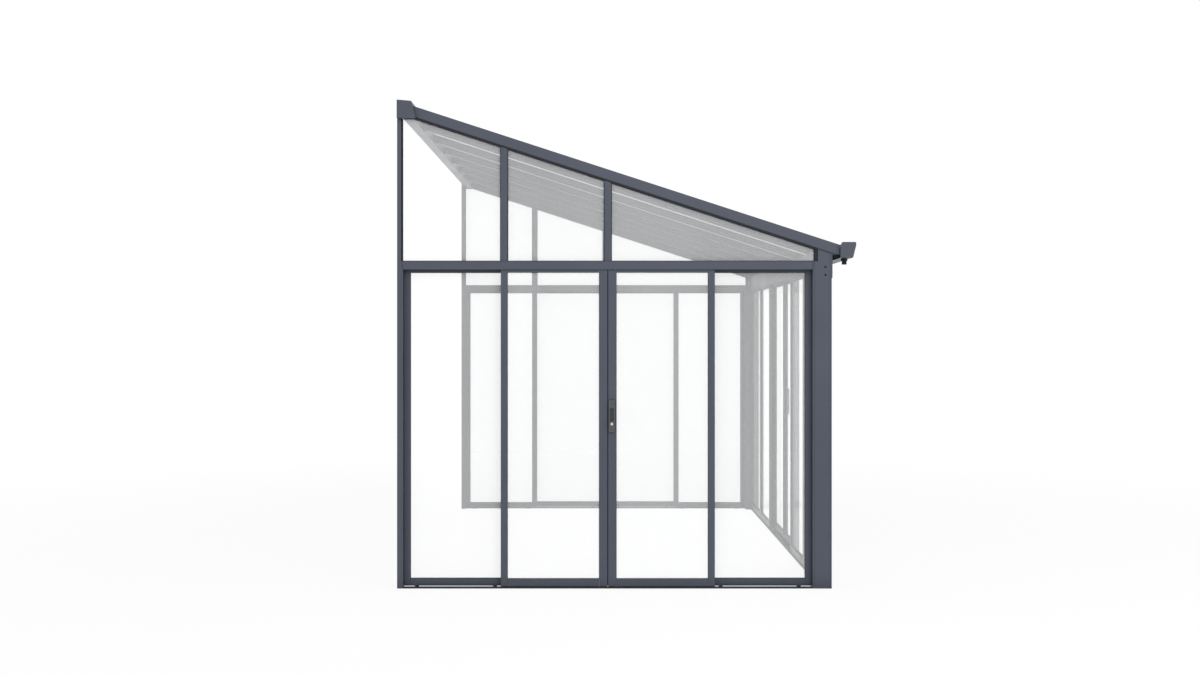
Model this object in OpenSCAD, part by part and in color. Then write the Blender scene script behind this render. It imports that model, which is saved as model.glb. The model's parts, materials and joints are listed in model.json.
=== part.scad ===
// Lean-to glazed patio room: a sloping roof on a wall ledger and two front posts,
// glazed gables, and sliding double doors in the front and both side walls.
// X runs from the house to the garden, Y along the house, Z up, in millimetres.

/* [Overall] */
// House wall to the front edge of the gutter
depth = 2936; // [2600:1:3400]
// Ground to the top of the wall ledger
height = 3127; // [2700:1:3500]
// Outside of one side wall to the outside of the other
length = 4300; // [4000:1:4700]

/* [Roof] */
// Depth of the ledger, house wall to rafter ends
ledger_d = 101; // [90:1:120]
// Height of the ledger
ledger_h = 117; // [110:1:130]
// Drop from the top of the ledger to the rafter tops at its nose
ledger_nose = 37; // [25:1:45]
// Wall of the ledger and beam profiles
profile_wall = 3; // [2:0.5:5]
// Width of a rafter
rafter_w = 50; // [40:1:70]
// Depth of a side rafter, square to the slope
rafter_h = 75; // [68:1:85]
// Rafter tops down to the underside of the inner rafters
inner_rafter_h = 61; // [50:1:75]
// Rafter tops down to the underside of the roof panels
panel_seat = 10; // [9:1:30]
// Thickness of a roof panel
panel_t = 6; // [4:1:7]
// Number of roof panels
panel_count = 7; // [5:1:9]
// Width of the cap strip over a rafter
cap_w = 60; // [40:1:80]
// Thickness of the cap strip
cap_t = 6; // [3:0.5:6]
// Width of the rafter web between two panels
web_w = 8; // [5:1:14]

/* [Gutter] */
// Depth of the gutter, back to front edge
gutter_d = 101; // [90:1:120]
// Height of the gutter
gutter_h = 101; // [90:1:115]
// Rise of the gutter's front edge over the rafter top
gutter_rise = 17; // [10:1:25]
// Inward lean of the gutter's front from top to bottom
gutter_lean = 20; // [5:1:30]
// Wall of the gutter
gutter_wall = 3; // [2:0.5:5]
// Thickness of the end caps of gutter and ledger
end_cap_t = 20; // [8:1:25]
// Radius of the outlet spigot
outlet_r = 15.5; // [12:0.5:25]
// Bore radius of the outlet spigot
outlet_bore_r = 13; // [8:0.5:14]
// Radius of the outlet collar
outlet_collar_r = 20.5; // [18:0.5:30]
// Height of the outlet collar
outlet_collar_h = 16; // [8:1:20]
// Length of the spigot below its collar
outlet_len = 22; // [15:1:60]
// Outlet axis inward from the outside of the side wall
outlet_inset = 80; // [40:1:200]

/* [Posts and jambs] */
// Post face width, both ways
post_w = 123; // [110:1:140]
// Gutter front back to the post's front face
post_setback = 153; // [150:1:190]
// Width of a wall jamb
jamb_w = 38; // [34:1:60]
// Width of a jamb beside the gable glass
jamb_gable_w = 26; // [20:1:32]
// Cut-back of the post beside the gable glass
post_gable_cut = 34; // [26:1:45]
// Depth of the walls, outside to inside
wall_t = 73; // [70:1:90]
// Height of the post head bracket
bracket_h = 150; // [120:1:260]
// Plate thickness of the post head bracket
bracket_t = 4.5; // [3:0.5:8]
// Width of the post head bracket
bracket_w = 84; // [60:1:100]

/* [Transom] */
// Ground to the underside of the transom fascia
transom_z = 2042; // [1900:1:2200]
// Height of the transom
transom_h = 53; // [45:1:58]
// Rise of the posts over the transom, at their front
beam_h = 43; // [30:1:80]
// How far the fascia stands out of the post's face
fascia_out = 5; // [5:0.5:8]
// Wall of the transom profile
transom_wall = 3; // [2:0.5:4]

/* [Sliding doors] */
// Width of a sliding leaf
leaf_w = 683; // [640:1:720]
// Thickness of a leaf and of a fixed frame
leaf_t = 24; // [22:1:26]
// Outer leaf face behind the post's face
leaf_set = 3; // [3:0.5:5]
// Distance from the door track to the fixed panels
track_pitch = 38; // [38:1:42]
// Width of a plain stile
stile_w = 42; // [36:1:60]
// Width of the stiles where two leaves meet
meet_w = 52; // [50:1:70]
// Height of the rails
rail_h = 48; // [44:1:70]
// Clear gap between two closed leaves
meet_gap = 5; // [5:0.5:8]
// Ground to the underside of a leaf
leaf_z = 14; // [14:1:20]
// Ground to the underside of a fixed panel
fixed_z = 11; // [8:1:14]
// How far leaves and fixed panels reach up behind the fascia
head_lap = 30; // [20:1:34]
// Thickness of the wall glazing
pane_t = 4; // [3:0.5:6]
// Depth of a glazing groove
groove_d = 10; // [6:1:14]
// Height of the sill track
sill_h = 9; // [7:0.5:9]
// Width of the sill track
sill_w = 34; // [30:1:35]

/* [Rollers and handles] */
// Radius of a roller's flanges
roller_r = 9.7; // [8:0.1:11]
// Depth of the roller's groove over the track rib
roller_groove = 1.7; // [1:0.1:2]
// Length of a roller carriage
carriage_l = 60; // [50:1:90]
// Carriage distance from the ends of a leaf's bottom rail
carriage_in = 40; // [30:1:120]
// Length of the door handle
handle_h = 205; // [150:1:260]
// Width of the door handle
handle_w = 40; // [30:1:46]
// Thickness of the outside door handle
handle_t = 12; // [8:1:14]
// Thickness of the inside pull
pull_t = 8; // [5:0.5:8]
// Ground to the lower end of the handle
handle_z = 1001; // [900:1:1100]

/* [Hidden] */
fit = 0.3;
frame_color = [0.34, 0.365, 0.41];
dark_color = [0.11, 0.115, 0.125];
handle_color = [0.36, 0.37, 0.38];
glass_color = [0.9, 0.95, 0.97, 0.35];
panel_color = [0.93, 0.94, 0.94, 0.8];
half_l = length / 2;
post_u1 = depth - post_setback;
post_u0 = post_u1 - post_w;
transom_top = transom_z + transom_h;
// The roof runs from the ledger's nose to the top of the eave beam, which sets its slope
roof_run = post_u1 - ledger_d;
roof_drop = height - ledger_nose - transom_top - beam_h - 2 * fit;
pitch = acos(rafter_h / norm([roof_run, roof_drop])) - atan2(roof_run, roof_drop);
slope = tan(pitch);
// Height of the roof at u from the house wall, h square to the slope over the rafter tops
function roof_z(u, h) = height - ledger_nose - slope * (u - ledger_d) + h / cos(pitch);
roof_u0 = ledger_d + fit;
gutter_u0 = depth - gutter_d;
roof_u1 = gutter_u0 - fit;
gutter_top = roof_z(gutter_u0, 0) + gutter_rise;
panel_lap = 22;
rafter_pitch = (length - rafter_w) / panel_count;
panel_h0 = fit - panel_seat;
panel_h1 = panel_h0 + panel_t;
web_h = panel_h1 + 1;
wall_mid = (jamb_w + post_u0) / 2;
leaf_top = transom_z + head_lap;
fixed_set = leaf_set + track_pitch;
side_fixed_w = wall_mid - jamb_w - meet_gap / 2 - leaf_w + stile_w - fit;
front_half = half_l - post_w;
front_fixed_s0 = meet_gap / 2 + leaf_w - stile_w;
front_fixed_w = (front_half - front_fixed_s0) / 2 - fit;
post_r = 4;
flute_in = 12;
flute_w = 2.5;
flute_d = 1.5;
mullion_w = 44;
mullion_d = 40;
gable_set = 18;
gable_bite = 6;
lip_h = 12;
seal_w = 21;
seal_d0 = 8;
seal_d1 = 32;
jamb_seal_w = 6;
rib_w = 3;
sill_wall = 3;
channel_w = 14;
channel_h = 30;
carriage_slot = 8;
roller_w = 6;
axle_r = 3;
block_l = 25;
block_in = 70;
handle_r = 8;
handle_in = 3;
grip_w = 8;
lock_z = 52;
lock_r = 9.5;
lock_out = 2;
flange_t = 3;
flange_reach = 7;
flange_gap = 5;
flange_end = 30;

// Places: u is measured from the house wall, s along a wall, d inward from its outside
module from_house() {
    translate([-depth / 2, 0, 0]) children();
}

module left_wall() {
    from_house() translate([0, -half_l, 0]) children();
}

module right_wall() {
    mirror([0, 1, 0]) left_wall() children();
}

module both_side_walls() {
    left_wall() children();
    right_wall() children();
}

module front_wall() {
    from_house() translate([post_u1, 0, 0]) rotate([0, 0, 90]) children();
}

// Points of an outline whose corners are rounded, each by its own radius
function unit(v) = v / norm(v);
function corner_arc(a, b, c, r, steps = 5) = r == 0 ? [b] : let (
    d0 = unit(a - b),
    d1 = unit(c - b),
    half = acos(d0 * d1) / 2,
    centre = b + unit(d0 + d1) * r / sin(half),
    start = b + d0 * r / tan(half) - centre,
    stop = b + d1 * r / tan(half) - centre,
    a0 = atan2(start[1], start[0]),
    turn = (atan2(stop[1], stop[0]) - a0 + 540) % 360 - 180
) [for (i = [0 : steps]) centre + r * [cos(a0 + turn * i / steps), sin(a0 + turn * i / steps)]];
function rounded(points, radii) = let (n = len(points)) [
    for (i = [0 : n - 1])
        each corner_arc(points[(i + n - 1) % n], points[i], points[(i + 1) % n], radii[i])
];
function box_points(w, d) = [[0, 0], [w, 0], [w, d], [0, d]];
function round_box(w, d, r) = rounded(box_points(w, d), [r, r, r, r]);

// A flat outline in u and z drawn out along Y
module along_y(y0, y1) {
    translate([0, y1, 0]) rotate([90, 0, 0]) linear_extrude(y1 - y0) children();
}

// An outline in d and z drawn out along the wall
module along_wall(s0, s1) {
    translate([s0, 0, 0]) rotate([90, 0, 90]) linear_extrude(s1 - s0) children();
}

// A strip parallel to the roof with plumb ends
module roof_strip(u0, u1, h0, h1, y0, y1) {
    along_y(y0, y1) polygon([
        [u0, roof_z(u0, h0)], [u1, roof_z(u1, h0)], [u1, roof_z(u1, h1)], [u0, roof_z(u0, h1)]
    ]);
}

// All space below a line parallel to the roof, between two distances from the house
module under_roof(u0, u1, z0, h, y0, y1) {
    along_y(y0, y1) polygon([[u0, z0], [u1, z0], [u1, roof_z(u1, h)], [u0, roof_z(u0, h)]]);
}

// Bars of leaves and fixed panels, with a groove for the pane along one edge
module pane_groove(length_in) {
    translate([length_in, (leaf_t - pane_t) / 2 - fit]) square([groove_d + 1, pane_t + 2 * fit]);
}

module upright_outline(w, groove_at) {
    difference() {
        square([w, leaf_t]);
        pane_groove(groove_at);
    }
}

// Upright bar; inner = 1 puts the groove on its far edge, -1 on its near edge
module upright(s0, w, z0, z1, inner) {
    translate([s0, 0, z0]) linear_extrude(z1 - z0)
        upright_outline(w, inner > 0 ? w - groove_d : -1);
}

// Level bar; inner = 1 puts the groove on its top edge, -1 on its underside
module crossbar(s0, s1, z0, inner) {
    groove_z = inner > 0 ? rail_h - groove_d : -1;
    along_wall(s0, s1) difference() {
        translate([0, z0]) square([leaf_t, rail_h]);
        translate([(leaf_t - pane_t) / 2 - fit, z0 + groove_z])
            square([pane_t + 2 * fit, groove_d + 1]);
    }
}

module pane_between(s0, s1, z0, z1) {
    bite = groove_d - 2;
    translate([s0 - bite, (leaf_t - pane_t) / 2, z0 - bite])
        cube([s1 - s0 + 2 * bite, pane_t, z1 - z0 + 2 * bite]);
}

// Sliding leaf, drawn from the edge where two leaves meet (s = 0) outward
// An angle strip behind one leaf laps over the gap to the other
module meeting_strip() {
    near_d = leaf_t + fit;
    far_d = leaf_t + flange_gap + flange_t;
    tip_s = -meet_gap - flange_reach;
    z0 = leaf_z + flange_end;
    translate([0, 0, z0]) linear_extrude(transom_z - flange_end - z0) polygon([
        [0, near_d], [flange_t, near_d], [flange_t, far_d],
        [tip_s, far_d], [tip_s, far_d - flange_t], [0, far_d - flange_t]
    ]);
}

module bottom_rail(s0, s1) {
    difference() {
        crossbar(s0, s1, leaf_z, 1);
        translate([s0 - 1, (leaf_t - channel_w) / 2, leaf_z - 1])
            cube([s1 - s0 + 2, channel_w, channel_h + 1]);
    }
}

module leaf_frame(with_strip) {
    rail_s0 = meet_w + fit;
    rail_s1 = leaf_w - stile_w - fit;
    translate([0, leaf_set, 0]) {
        upright(0, meet_w, leaf_z, leaf_top, 1);
        if (with_strip) meeting_strip();
        upright(leaf_w - stile_w, stile_w, leaf_z, leaf_top, -1);
        crossbar(rail_s0, rail_s1, leaf_top - rail_h, -1);
        bottom_rail(rail_s0, rail_s1);
    }
}

module leaf_pane() {
    translate([0, leaf_set, 0])
        pane_between(meet_w, leaf_w - stile_w, leaf_z + rail_h, leaf_top - rail_h);
}

// Roller with a groove that straddles the track rib, its axle held in a carriage block
module roller_carriage() {
    core_r = roller_r - roller_groove;
    core_w = rib_w + 2 * fit;
    axle_z = sill_h + fit + core_r;
    slot_l = 2 * roller_r + 2;
    block_w = channel_w - 2 * fit;
    difference() {
        translate([0, -block_w / 2, leaf_z]) cube([carriage_l, block_w, channel_h - fit]);
        translate([(carriage_l - slot_l) / 2, -carriage_slot / 2, leaf_z - 1])
            cube([slot_l, carriage_slot, axle_z + roller_r + 2 - leaf_z]);
    }
    translate([carriage_l / 2, 0, axle_z]) rotate([-90, 0, 0]) {
        cylinder(r = axle_r, h = carriage_slot + 2, center = true, $fn = 48);
        cylinder(r = core_r, h = core_w + 1, center = true, $fn = 64);
        for (side = [-1, 1])
            translate([0, 0, side * (roller_w + core_w) / 4])
                cylinder(r = roller_r, h = (roller_w - core_w) / 2, center = true, $fn = 64);
    }
}

module leaf_rollers() {
    track_d = leaf_set + leaf_t / 2;
    first = meet_w + fit + carriage_in;
    last = leaf_w - stile_w - fit - carriage_in - carriage_l;
    for (s = [first, last]) translate([s, track_d, 0]) roller_carriage();
}

// A plate with rounded corners standing on the face at d, in s and z
module handle_plate(w, h, r, d0, d1) {
    translate([0, d1, 0]) rotate([90, 0, 0]) linear_extrude(d1 - d0) polygon(round_box(w, h, r));
}

// Outside: a plate with a finger recess, a grip bar beside it and a lock barrel; inside: a pull
module door_handle() {
    recess_w = handle_w - 2 * grip_w;
    recess_z = lock_z + lock_r + grip_w;
    recess_h = handle_h - recess_z - lock_z;
    pull_w = handle_w - grip_w;
    translate([0, leaf_set, handle_z]) {
        translate([handle_in, 0, 0]) {
            difference() {
                handle_plate(handle_w, handle_h, handle_r, -handle_t - fit, -fit);
                translate([grip_w, 0, recess_z])
                    handle_plate(recess_w, recess_h, handle_r / 2, -handle_t - 1, -grip_w / 2);
            }
            translate([handle_w / 2, -handle_t - fit, lock_z]) rotate([90, 0, 0])
                cylinder(r = lock_r, h = lock_out, $fn = 48);
        }
        translate([meet_w - pull_w - grip_w / 2, 0, 0])
            handle_plate(pull_w, handle_h, handle_r, leaf_t + fit, leaf_t + pull_t);
    }
}

module left_leaf_place(toward_front) {
    left_wall() translate([wall_mid, 0, 0])
        mirror([toward_front ? 0 : 1, 0, 0]) translate([meet_gap / 2, 0, 0]) children();
}

module right_leaf_place(toward_front) {
    mirror([0, 1, 0]) left_leaf_place(toward_front) children();
}

module front_leaf_place(toward_left) {
    front_wall() mirror([toward_left ? 1 : 0, 0, 0]) translate([meet_gap / 2, 0, 0]) children();
}

// Roof
ledger_z0 = height - ledger_h;
nose_in = 7;
nose_r = 8;
nose_drop = 8;
heel = 43;
heel_rise = 41;

// Ledger section; its lower corner at the house wall is cut back
module ledger_outline() {
    polygon(rounded([
        [heel, ledger_z0], [ledger_d, ledger_z0], [ledger_d, height - ledger_nose],
        [ledger_d - nose_in, height - nose_drop], [0, height], [0, ledger_z0 + heel_rise]
    ], [0, 0, 0, nose_r, 0, 0]));
}

module ledger() {
    w = profile_wall;
    color(frame_color) from_house() along_y(-half_l, half_l) difference() {
        ledger_outline();
        polygon([
            [heel + w / 2, ledger_z0 + w], [ledger_d - w, ledger_z0 + w],
            [ledger_d - w, height - ledger_nose - w],
            [ledger_d - nose_in - nose_r, height - nose_drop - w], [w, height - 2 * w],
            [w, ledger_z0 + heel_rise + w / 2]
        ]);
    }
}

module ledger_end_caps() {
    toe = 20;
    color(frame_color) for (side = [0, 1]) mirror([0, side, 0]) from_house()
        along_y(-half_l - end_cap_t, -half_l - fit) polygon(rounded([
            [0, ledger_z0], [ledger_d + toe, ledger_z0], [ledger_d, height - ledger_nose],
            [ledger_d - nose_in, height - nose_drop], [0, height]
        ], [0, 0, 0, nose_r, 0]));
}

// Side rafter with a slot for the roof panel, a set-back lower lip, a groove for the gable glass
// and a tail that is cut level in front of the post
module side_rafter() {
    slot_h = panel_t + 1;
    lip_set = 6;
    tail_u = post_u1 + 2 * bracket_t;
    difference() {
        roof_strip(roof_u0, roof_u1, -rafter_h, 0, 0, rafter_w);
        roof_strip(roof_u0 - 1, roof_u1 + 1, -panel_seat, slot_h - panel_seat,
            rafter_w / 2, rafter_w + 1);
        roof_strip(roof_u0 - 1, roof_u1 + 1, -rafter_h - 1, lip_h - rafter_h,
            gable_set - fit, gable_set + pane_t + fit);
        roof_strip(roof_u0 - 1, roof_u1 + 1, -rafter_h - 1, lip_h - rafter_h, -1, lip_set);
        translate([tail_u, -1, 0]) cube([depth, rafter_w + 2, roof_z(tail_u, -rafter_h)]);
    }
}

module side_rafters() {
    color(frame_color) both_side_walls() side_rafter();
}

function rafter_y(i) = rafter_w / 2 + rafter_pitch * i - half_l;

module roof_rafters() {
    color(frame_color) from_house() for (i = [1 : panel_count - 1]) translate([0, rafter_y(i), 0]) {
        roof_strip(roof_u0, roof_u1, -inner_rafter_h, -panel_seat, -rafter_w / 2, rafter_w / 2);
        roof_strip(roof_u0, roof_u1, -panel_seat - 1, web_h, -web_w / 2, web_w / 2);
    }
}

module rafter_caps() {
    color(frame_color) from_house() for (i = [1 : panel_count - 1]) translate([0, rafter_y(i), 0])
        roof_strip(roof_u0, roof_u1 + panel_lap, web_h + fit, web_h + fit + cap_t,
            -cap_w / 2, cap_w / 2);
}

module roof_panels() {
    edge = web_w / 2 + fit;
    color(panel_color) from_house() for (i = [0 : panel_count - 1]) {
        y0 = i == 0 ? rafter_y(0) + fit : rafter_y(i) + edge;
        y1 = i == panel_count - 1 ? rafter_y(panel_count) - fit : rafter_y(i + 1) - edge;
        roof_strip(roof_u0, roof_u1 + panel_lap, panel_h0, panel_h1, y0, y1);
    }
}

module eave_beam() {
    u0 = post_u1 - wall_t;
    w = profile_wall;
    color(frame_color) from_house() difference() {
        under_roof(u0, post_u1, transom_top + fit, -inner_rafter_h - fit,
            fit - front_half, front_half - fit);
        under_roof(u0 + w, post_u1 - w, transom_top + fit + w, -inner_rafter_h - fit - w,
            -front_half, front_half);
    }
}

// Gutter: floor, back wall below the panels, and a leaning front with a turned-in lip
gutter_foot = gutter_d - gutter_lean;
gutter_lip = 16;
gutter_r = 8;
gutter_brow = 20;
cap_back = 6;
cap_lean = 5;
outlet_u = gutter_u0 + gutter_foot / 2;

module gutter_section() {
    along_y(-half_l, half_l) translate([gutter_u0, gutter_top]) children();
}

module gutter_back() {
    top = -gutter_rise - (panel_seat + gutter_lip / 2) / cos(pitch);
    w = gutter_wall;
    gutter_section() translate([0, fit + w - gutter_h]) square([w, top - fit - w + gutter_h]);
}

module gutter_front() {
    w = gutter_wall;
    foot_z = fit + w - gutter_h;
    foot_u = gutter_foot + gutter_lean * (foot_z + gutter_h) / (gutter_h - gutter_brow);
    gutter_section() polygon(rounded([
        [foot_u - w, foot_z], [foot_u, foot_z], [gutter_d, -gutter_brow], [gutter_d, 0],
        [gutter_d - gutter_lip, 0], [gutter_d - gutter_lip, -w], [gutter_d - w, -w],
        [gutter_d - w, -gutter_brow]
    ], [0, 0, 0, gutter_r, 0, 0, gutter_r - w, 0]));
}

module gutter_floor() {
    difference() {
        gutter_section() translate([0, -gutter_h]) square([gutter_foot, gutter_wall]);
        translate([outlet_u, -half_l + outlet_inset, gutter_top - gutter_h - 1])
            cylinder(r = outlet_bore_r, h = gutter_wall + 2, $fn = 64);
    }
}

module gutter() {
    color(frame_color) from_house() {
        gutter_floor();
        gutter_back();
        gutter_front();
    }
}

module gutter_end_caps() {
    color(frame_color) for (side = [0, 1]) mirror([0, side, 0]) from_house()
        along_y(-half_l - end_cap_t, -half_l - fit) translate([gutter_u0, gutter_top])
            polygon(rounded([
                [0, -gutter_h], [gutter_foot, -gutter_h], [gutter_d, -gutter_brow],
                [gutter_d, 0], [cap_back + cap_lean, 0], [cap_back, -gutter_rise], [0, -gutter_rise]
            ], [0, gutter_r, 0, gutter_r, gutter_r, 0, 0]));
}

module gutter_outlet() {
    z0 = gutter_top - gutter_h - fit;
    total = outlet_collar_h + outlet_len;
    color(dark_color) from_house() translate([outlet_u, -half_l + outlet_inset, z0]) difference() {
        union() {
            translate([0, 0, -outlet_collar_h]) cylinder(r = outlet_collar_r, h = outlet_collar_h, $fn = 64);
            translate([0, 0, -total]) cylinder(r = outlet_r, h = total, $fn = 64);
        }
        translate([0, 0, -total - 1]) cylinder(r = outlet_bore_r, h = total + 2, $fn = 64);
    }
}

// Posts and jambs
// Post section: rounded corners and two fine flutes down each face
module post_outline() {
    middle = post_w / 2;
    difference() {
        polygon(round_box(post_w, post_w, post_r));
        for (face = [0 : 3], at = [flute_in, post_w - flute_in])
            translate([middle, middle]) rotate(90 * face) translate([at - middle, -middle])
                square([flute_w, 2 * flute_d], center = true);
    }
}

module front_posts() {
    w = profile_wall;
    color(frame_color) both_side_walls() difference() {
        intersection() {
            translate([post_u0, 0, 0]) linear_extrude(height) post_outline();
            union() {
                translate([post_u0, 0, 0]) cube([post_w, post_w, transom_top]);
                under_roof(post_u0 + post_gable_cut, post_u1, transom_top - 1, -rafter_h - fit,
                    0, post_w);
            }
        }
        translate([post_u0 + w, w, -1]) cube([post_w - 2 * w, post_w - 2 * w, transom_top - w + 1]);
    }
}

// Plate on the post's front under the gutter, its lower edge chamfered
module post_head_brackets() {
    z1 = roof_z(post_u1 + bracket_t, -rafter_h) - 2 * fit;
    z0 = z1 - bracket_h;
    outer = fit + bracket_t;
    section = [[fit, z0], [fit + 1, z0], [outer, z0 + bracket_t], [outer, z1], [fit, z1]];
    color(frame_color) both_side_walls() translate([post_u1, 0, 0])
        along_y(post_r, post_r + bracket_w) polygon(section);
}

module wall_jambs() {
    color(frame_color) both_side_walls() {
        cube([jamb_w, wall_t, transom_top]);
        along_y(0, wall_t) polygon([
            [0, transom_top - 1], [jamb_gable_w, transom_top - 1],
            [jamb_gable_w, ledger_z0 + heel_rise * (1 - jamb_gable_w / heel) - 2 * fit],
            [0, ledger_z0 + heel_rise - 2 * fit]
        ]);
    }
}

// Head profile: a fascia outside, a rib between door and fixed panels, a fascia inside
module head_profile() {
    w = transom_wall;
    rib_d = leaf_set + (leaf_t + track_pitch) / 2 - w / 2;
    rib_lap = 16;
    translate([-fascia_out, transom_z]) square([w, transom_h]);
    translate([-fascia_out, transom_top - w]) square([wall_t + fascia_out, w]);
    translate([rib_d, leaf_top - rib_lap]) square([w, transom_top - leaf_top + rib_lap]);
    translate([wall_t - w, transom_z]) square([w, transom_h]);
}

module side_transoms() {
    color(frame_color) both_side_walls() along_wall(jamb_w + fit, post_u0 - fit) head_profile();
}

module front_head_track() {
    color(frame_color) front_wall() along_wall(fit - front_half, front_half - fit) head_profile();
}

// Sill profile: a tray with a lip at each side and a rib that the rollers straddle
module sill_profile() {
    square([sill_w, sill_wall]);
    square([sill_wall, sill_h]);
    translate([leaf_set + (leaf_t - rib_w) / 2, 0]) square([rib_w, sill_h]);
    translate([sill_w - sill_wall, 0]) square([sill_wall, sill_h]);
}

module side_sill_tracks() {
    color(dark_color) both_side_walls() along_wall(jamb_w + fit, post_u0 - fit) sill_profile();
}

// The front sill runs on under the fixed panels to an inner lip
module front_sill_track() {
    color(dark_color) front_wall() along_wall(fit - front_half, front_half - fit) {
        sill_profile();
        square([wall_t, sill_wall]);
        translate([wall_t - sill_wall, 0]) square([sill_wall, sill_h]);
    }
}

// Gable glazing
mullion_s = [wall_mid - meet_gap / 2 - leaf_w + stile_w / 2, wall_mid];
gable_s0 = jamb_gable_w + jamb_seal_w + fit;
gable_s1 = post_u0 + post_gable_cut - seal_w - fit;

module gable_mullions() {
    groove = gable_bite + 2;
    z0 = transom_top + fit;
    color(frame_color) both_side_walls() for (s = mullion_s) difference() {
        under_roof(s - mullion_w / 2, s + mullion_w / 2, z0, -rafter_h - fit, 0, mullion_d);
        for (side = [-1, 1])
            translate([s + side * mullion_w / 2 - groove, gable_set - fit, z0 - 1])
                cube([2 * groove, pane_t + 2 * fit, height]);
    }
}

module gable_seals() {
    z0 = transom_top + fit;
    color(dark_color) both_side_walls() {
        translate([jamb_gable_w + fit, seal_d0, z0])
            cube([jamb_seal_w - fit, seal_d1 - seal_d0, height - ledger_h - fit - z0]);
        under_roof(post_u0 + post_gable_cut - seal_w, post_u0 + post_gable_cut - fit, z0,
            -rafter_h - fit, seal_d0, seal_d1);
    }
}

module gable_panes() {
    reach = mullion_w / 2 - gable_bite;
    starts = [gable_s0, mullion_s[0] + reach, mullion_s[1] + reach];
    ends = [mullion_s[0] - reach, mullion_s[1] - reach, gable_s1];
    z0 = transom_top + fit;
    color(glass_color) both_side_walls() for (i = [0 : 2]) intersection() {
        under_roof(starts[i], ends[i], z0, lip_h - rafter_h - 3, gable_set, gable_set + pane_t);
        translate([0, 0, z0]) cube([depth, mullion_d, height - ledger_h - fit - z0]);
    }
}

// Fixed panels
module fixed_frame(s0, w) {
    translate([s0, fixed_set, 0]) {
        upright(0, stile_w, fixed_z, leaf_top, 1);
        upright(w - stile_w, stile_w, fixed_z, leaf_top, -1);
        crossbar(stile_w + fit, w - stile_w - fit, leaf_top - rail_h, -1);
        crossbar(stile_w + fit, w - stile_w - fit, fixed_z, 1);
    }
}

module fixed_pane(s0, w) {
    translate([s0, fixed_set, 0])
        pane_between(stile_w, w - stile_w, fixed_z + rail_h, leaf_top - rail_h);
}

module panel_blocks(s0, w, z0) {
    for (s = [s0 + block_in, s0 + w - block_in - block_l])
        translate([s, fixed_set, z0]) cube([block_l, leaf_t, fixed_z - fit - z0]);
}

side_fixed_s = [jamb_w + fit, post_u0 - fit - side_fixed_w];
front_fixed_s = [front_fixed_s0, front_fixed_s0 + front_fixed_w + fit];

module left_fixed_frames() {
    color(frame_color) left_wall() for (s = side_fixed_s) fixed_frame(s, side_fixed_w);
}

module right_fixed_frames() {
    color(frame_color) right_wall() for (s = side_fixed_s) fixed_frame(s, side_fixed_w);
}

module front_fixed_frames() {
    color(frame_color) front_wall() for (side = [0, 1]) mirror([side, 0, 0])
        for (s = front_fixed_s) fixed_frame(s, front_fixed_w);
}

module fixed_panes() {
    color(glass_color) {
        both_side_walls() for (s = side_fixed_s) fixed_pane(s, side_fixed_w);
        front_wall() for (side = [0, 1]) mirror([side, 0, 0])
            for (s = front_fixed_s) fixed_pane(s, front_fixed_w);
    }
}

module fixed_panel_blocks() {
    color(dark_color) {
        both_side_walls() for (s = side_fixed_s) panel_blocks(s, side_fixed_w, 0);
        front_wall() for (side = [0, 1]) mirror([side, 0, 0])
            for (s = front_fixed_s) panel_blocks(s, front_fixed_w, sill_wall + fit);
    }
}

// Sliding leaves of the left wall
module left_rear_leaf_frame() { color(frame_color) left_leaf_place(false) leaf_frame(true); }
module left_rear_leaf_pane() { color(glass_color) left_leaf_place(false) leaf_pane(); }
module left_rear_leaf_rollers() { color(dark_color) left_leaf_place(false) leaf_rollers(); }
module left_front_leaf_frame() { color(frame_color) left_leaf_place(true) leaf_frame(false); }
module left_front_leaf_pane() { color(glass_color) left_leaf_place(true) leaf_pane(); }
module left_front_leaf_rollers() { color(dark_color) left_leaf_place(true) leaf_rollers(); }
module left_door_handle() { color(handle_color) left_leaf_place(true) door_handle(); }

// Sliding leaves of the right wall
module right_rear_leaf_frame() { color(frame_color) right_leaf_place(false) leaf_frame(true); }
module right_rear_leaf_pane() { color(glass_color) right_leaf_place(false) leaf_pane(); }
module right_rear_leaf_rollers() { color(dark_color) right_leaf_place(false) leaf_rollers(); }
module right_front_leaf_frame() { color(frame_color) right_leaf_place(true) leaf_frame(false); }
module right_front_leaf_pane() { color(glass_color) right_leaf_place(true) leaf_pane(); }
module right_front_leaf_rollers() { color(dark_color) right_leaf_place(true) leaf_rollers(); }
module right_door_handle() { color(handle_color) right_leaf_place(true) door_handle(); }

// Sliding leaves of the front wall
module front_left_leaf_frame() { color(frame_color) front_leaf_place(true) leaf_frame(false); }
module front_left_leaf_pane() { color(glass_color) front_leaf_place(true) leaf_pane(); }
module front_left_leaf_rollers() { color(dark_color) front_leaf_place(true) leaf_rollers(); }
module front_right_leaf_frame() { color(frame_color) front_leaf_place(false) leaf_frame(true); }
module front_right_leaf_pane() { color(glass_color) front_leaf_place(false) leaf_pane(); }
module front_right_leaf_rollers() { color(dark_color) front_leaf_place(false) leaf_rollers(); }
module front_door_handle() { color(handle_color) front_leaf_place(true) door_handle(); }

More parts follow.
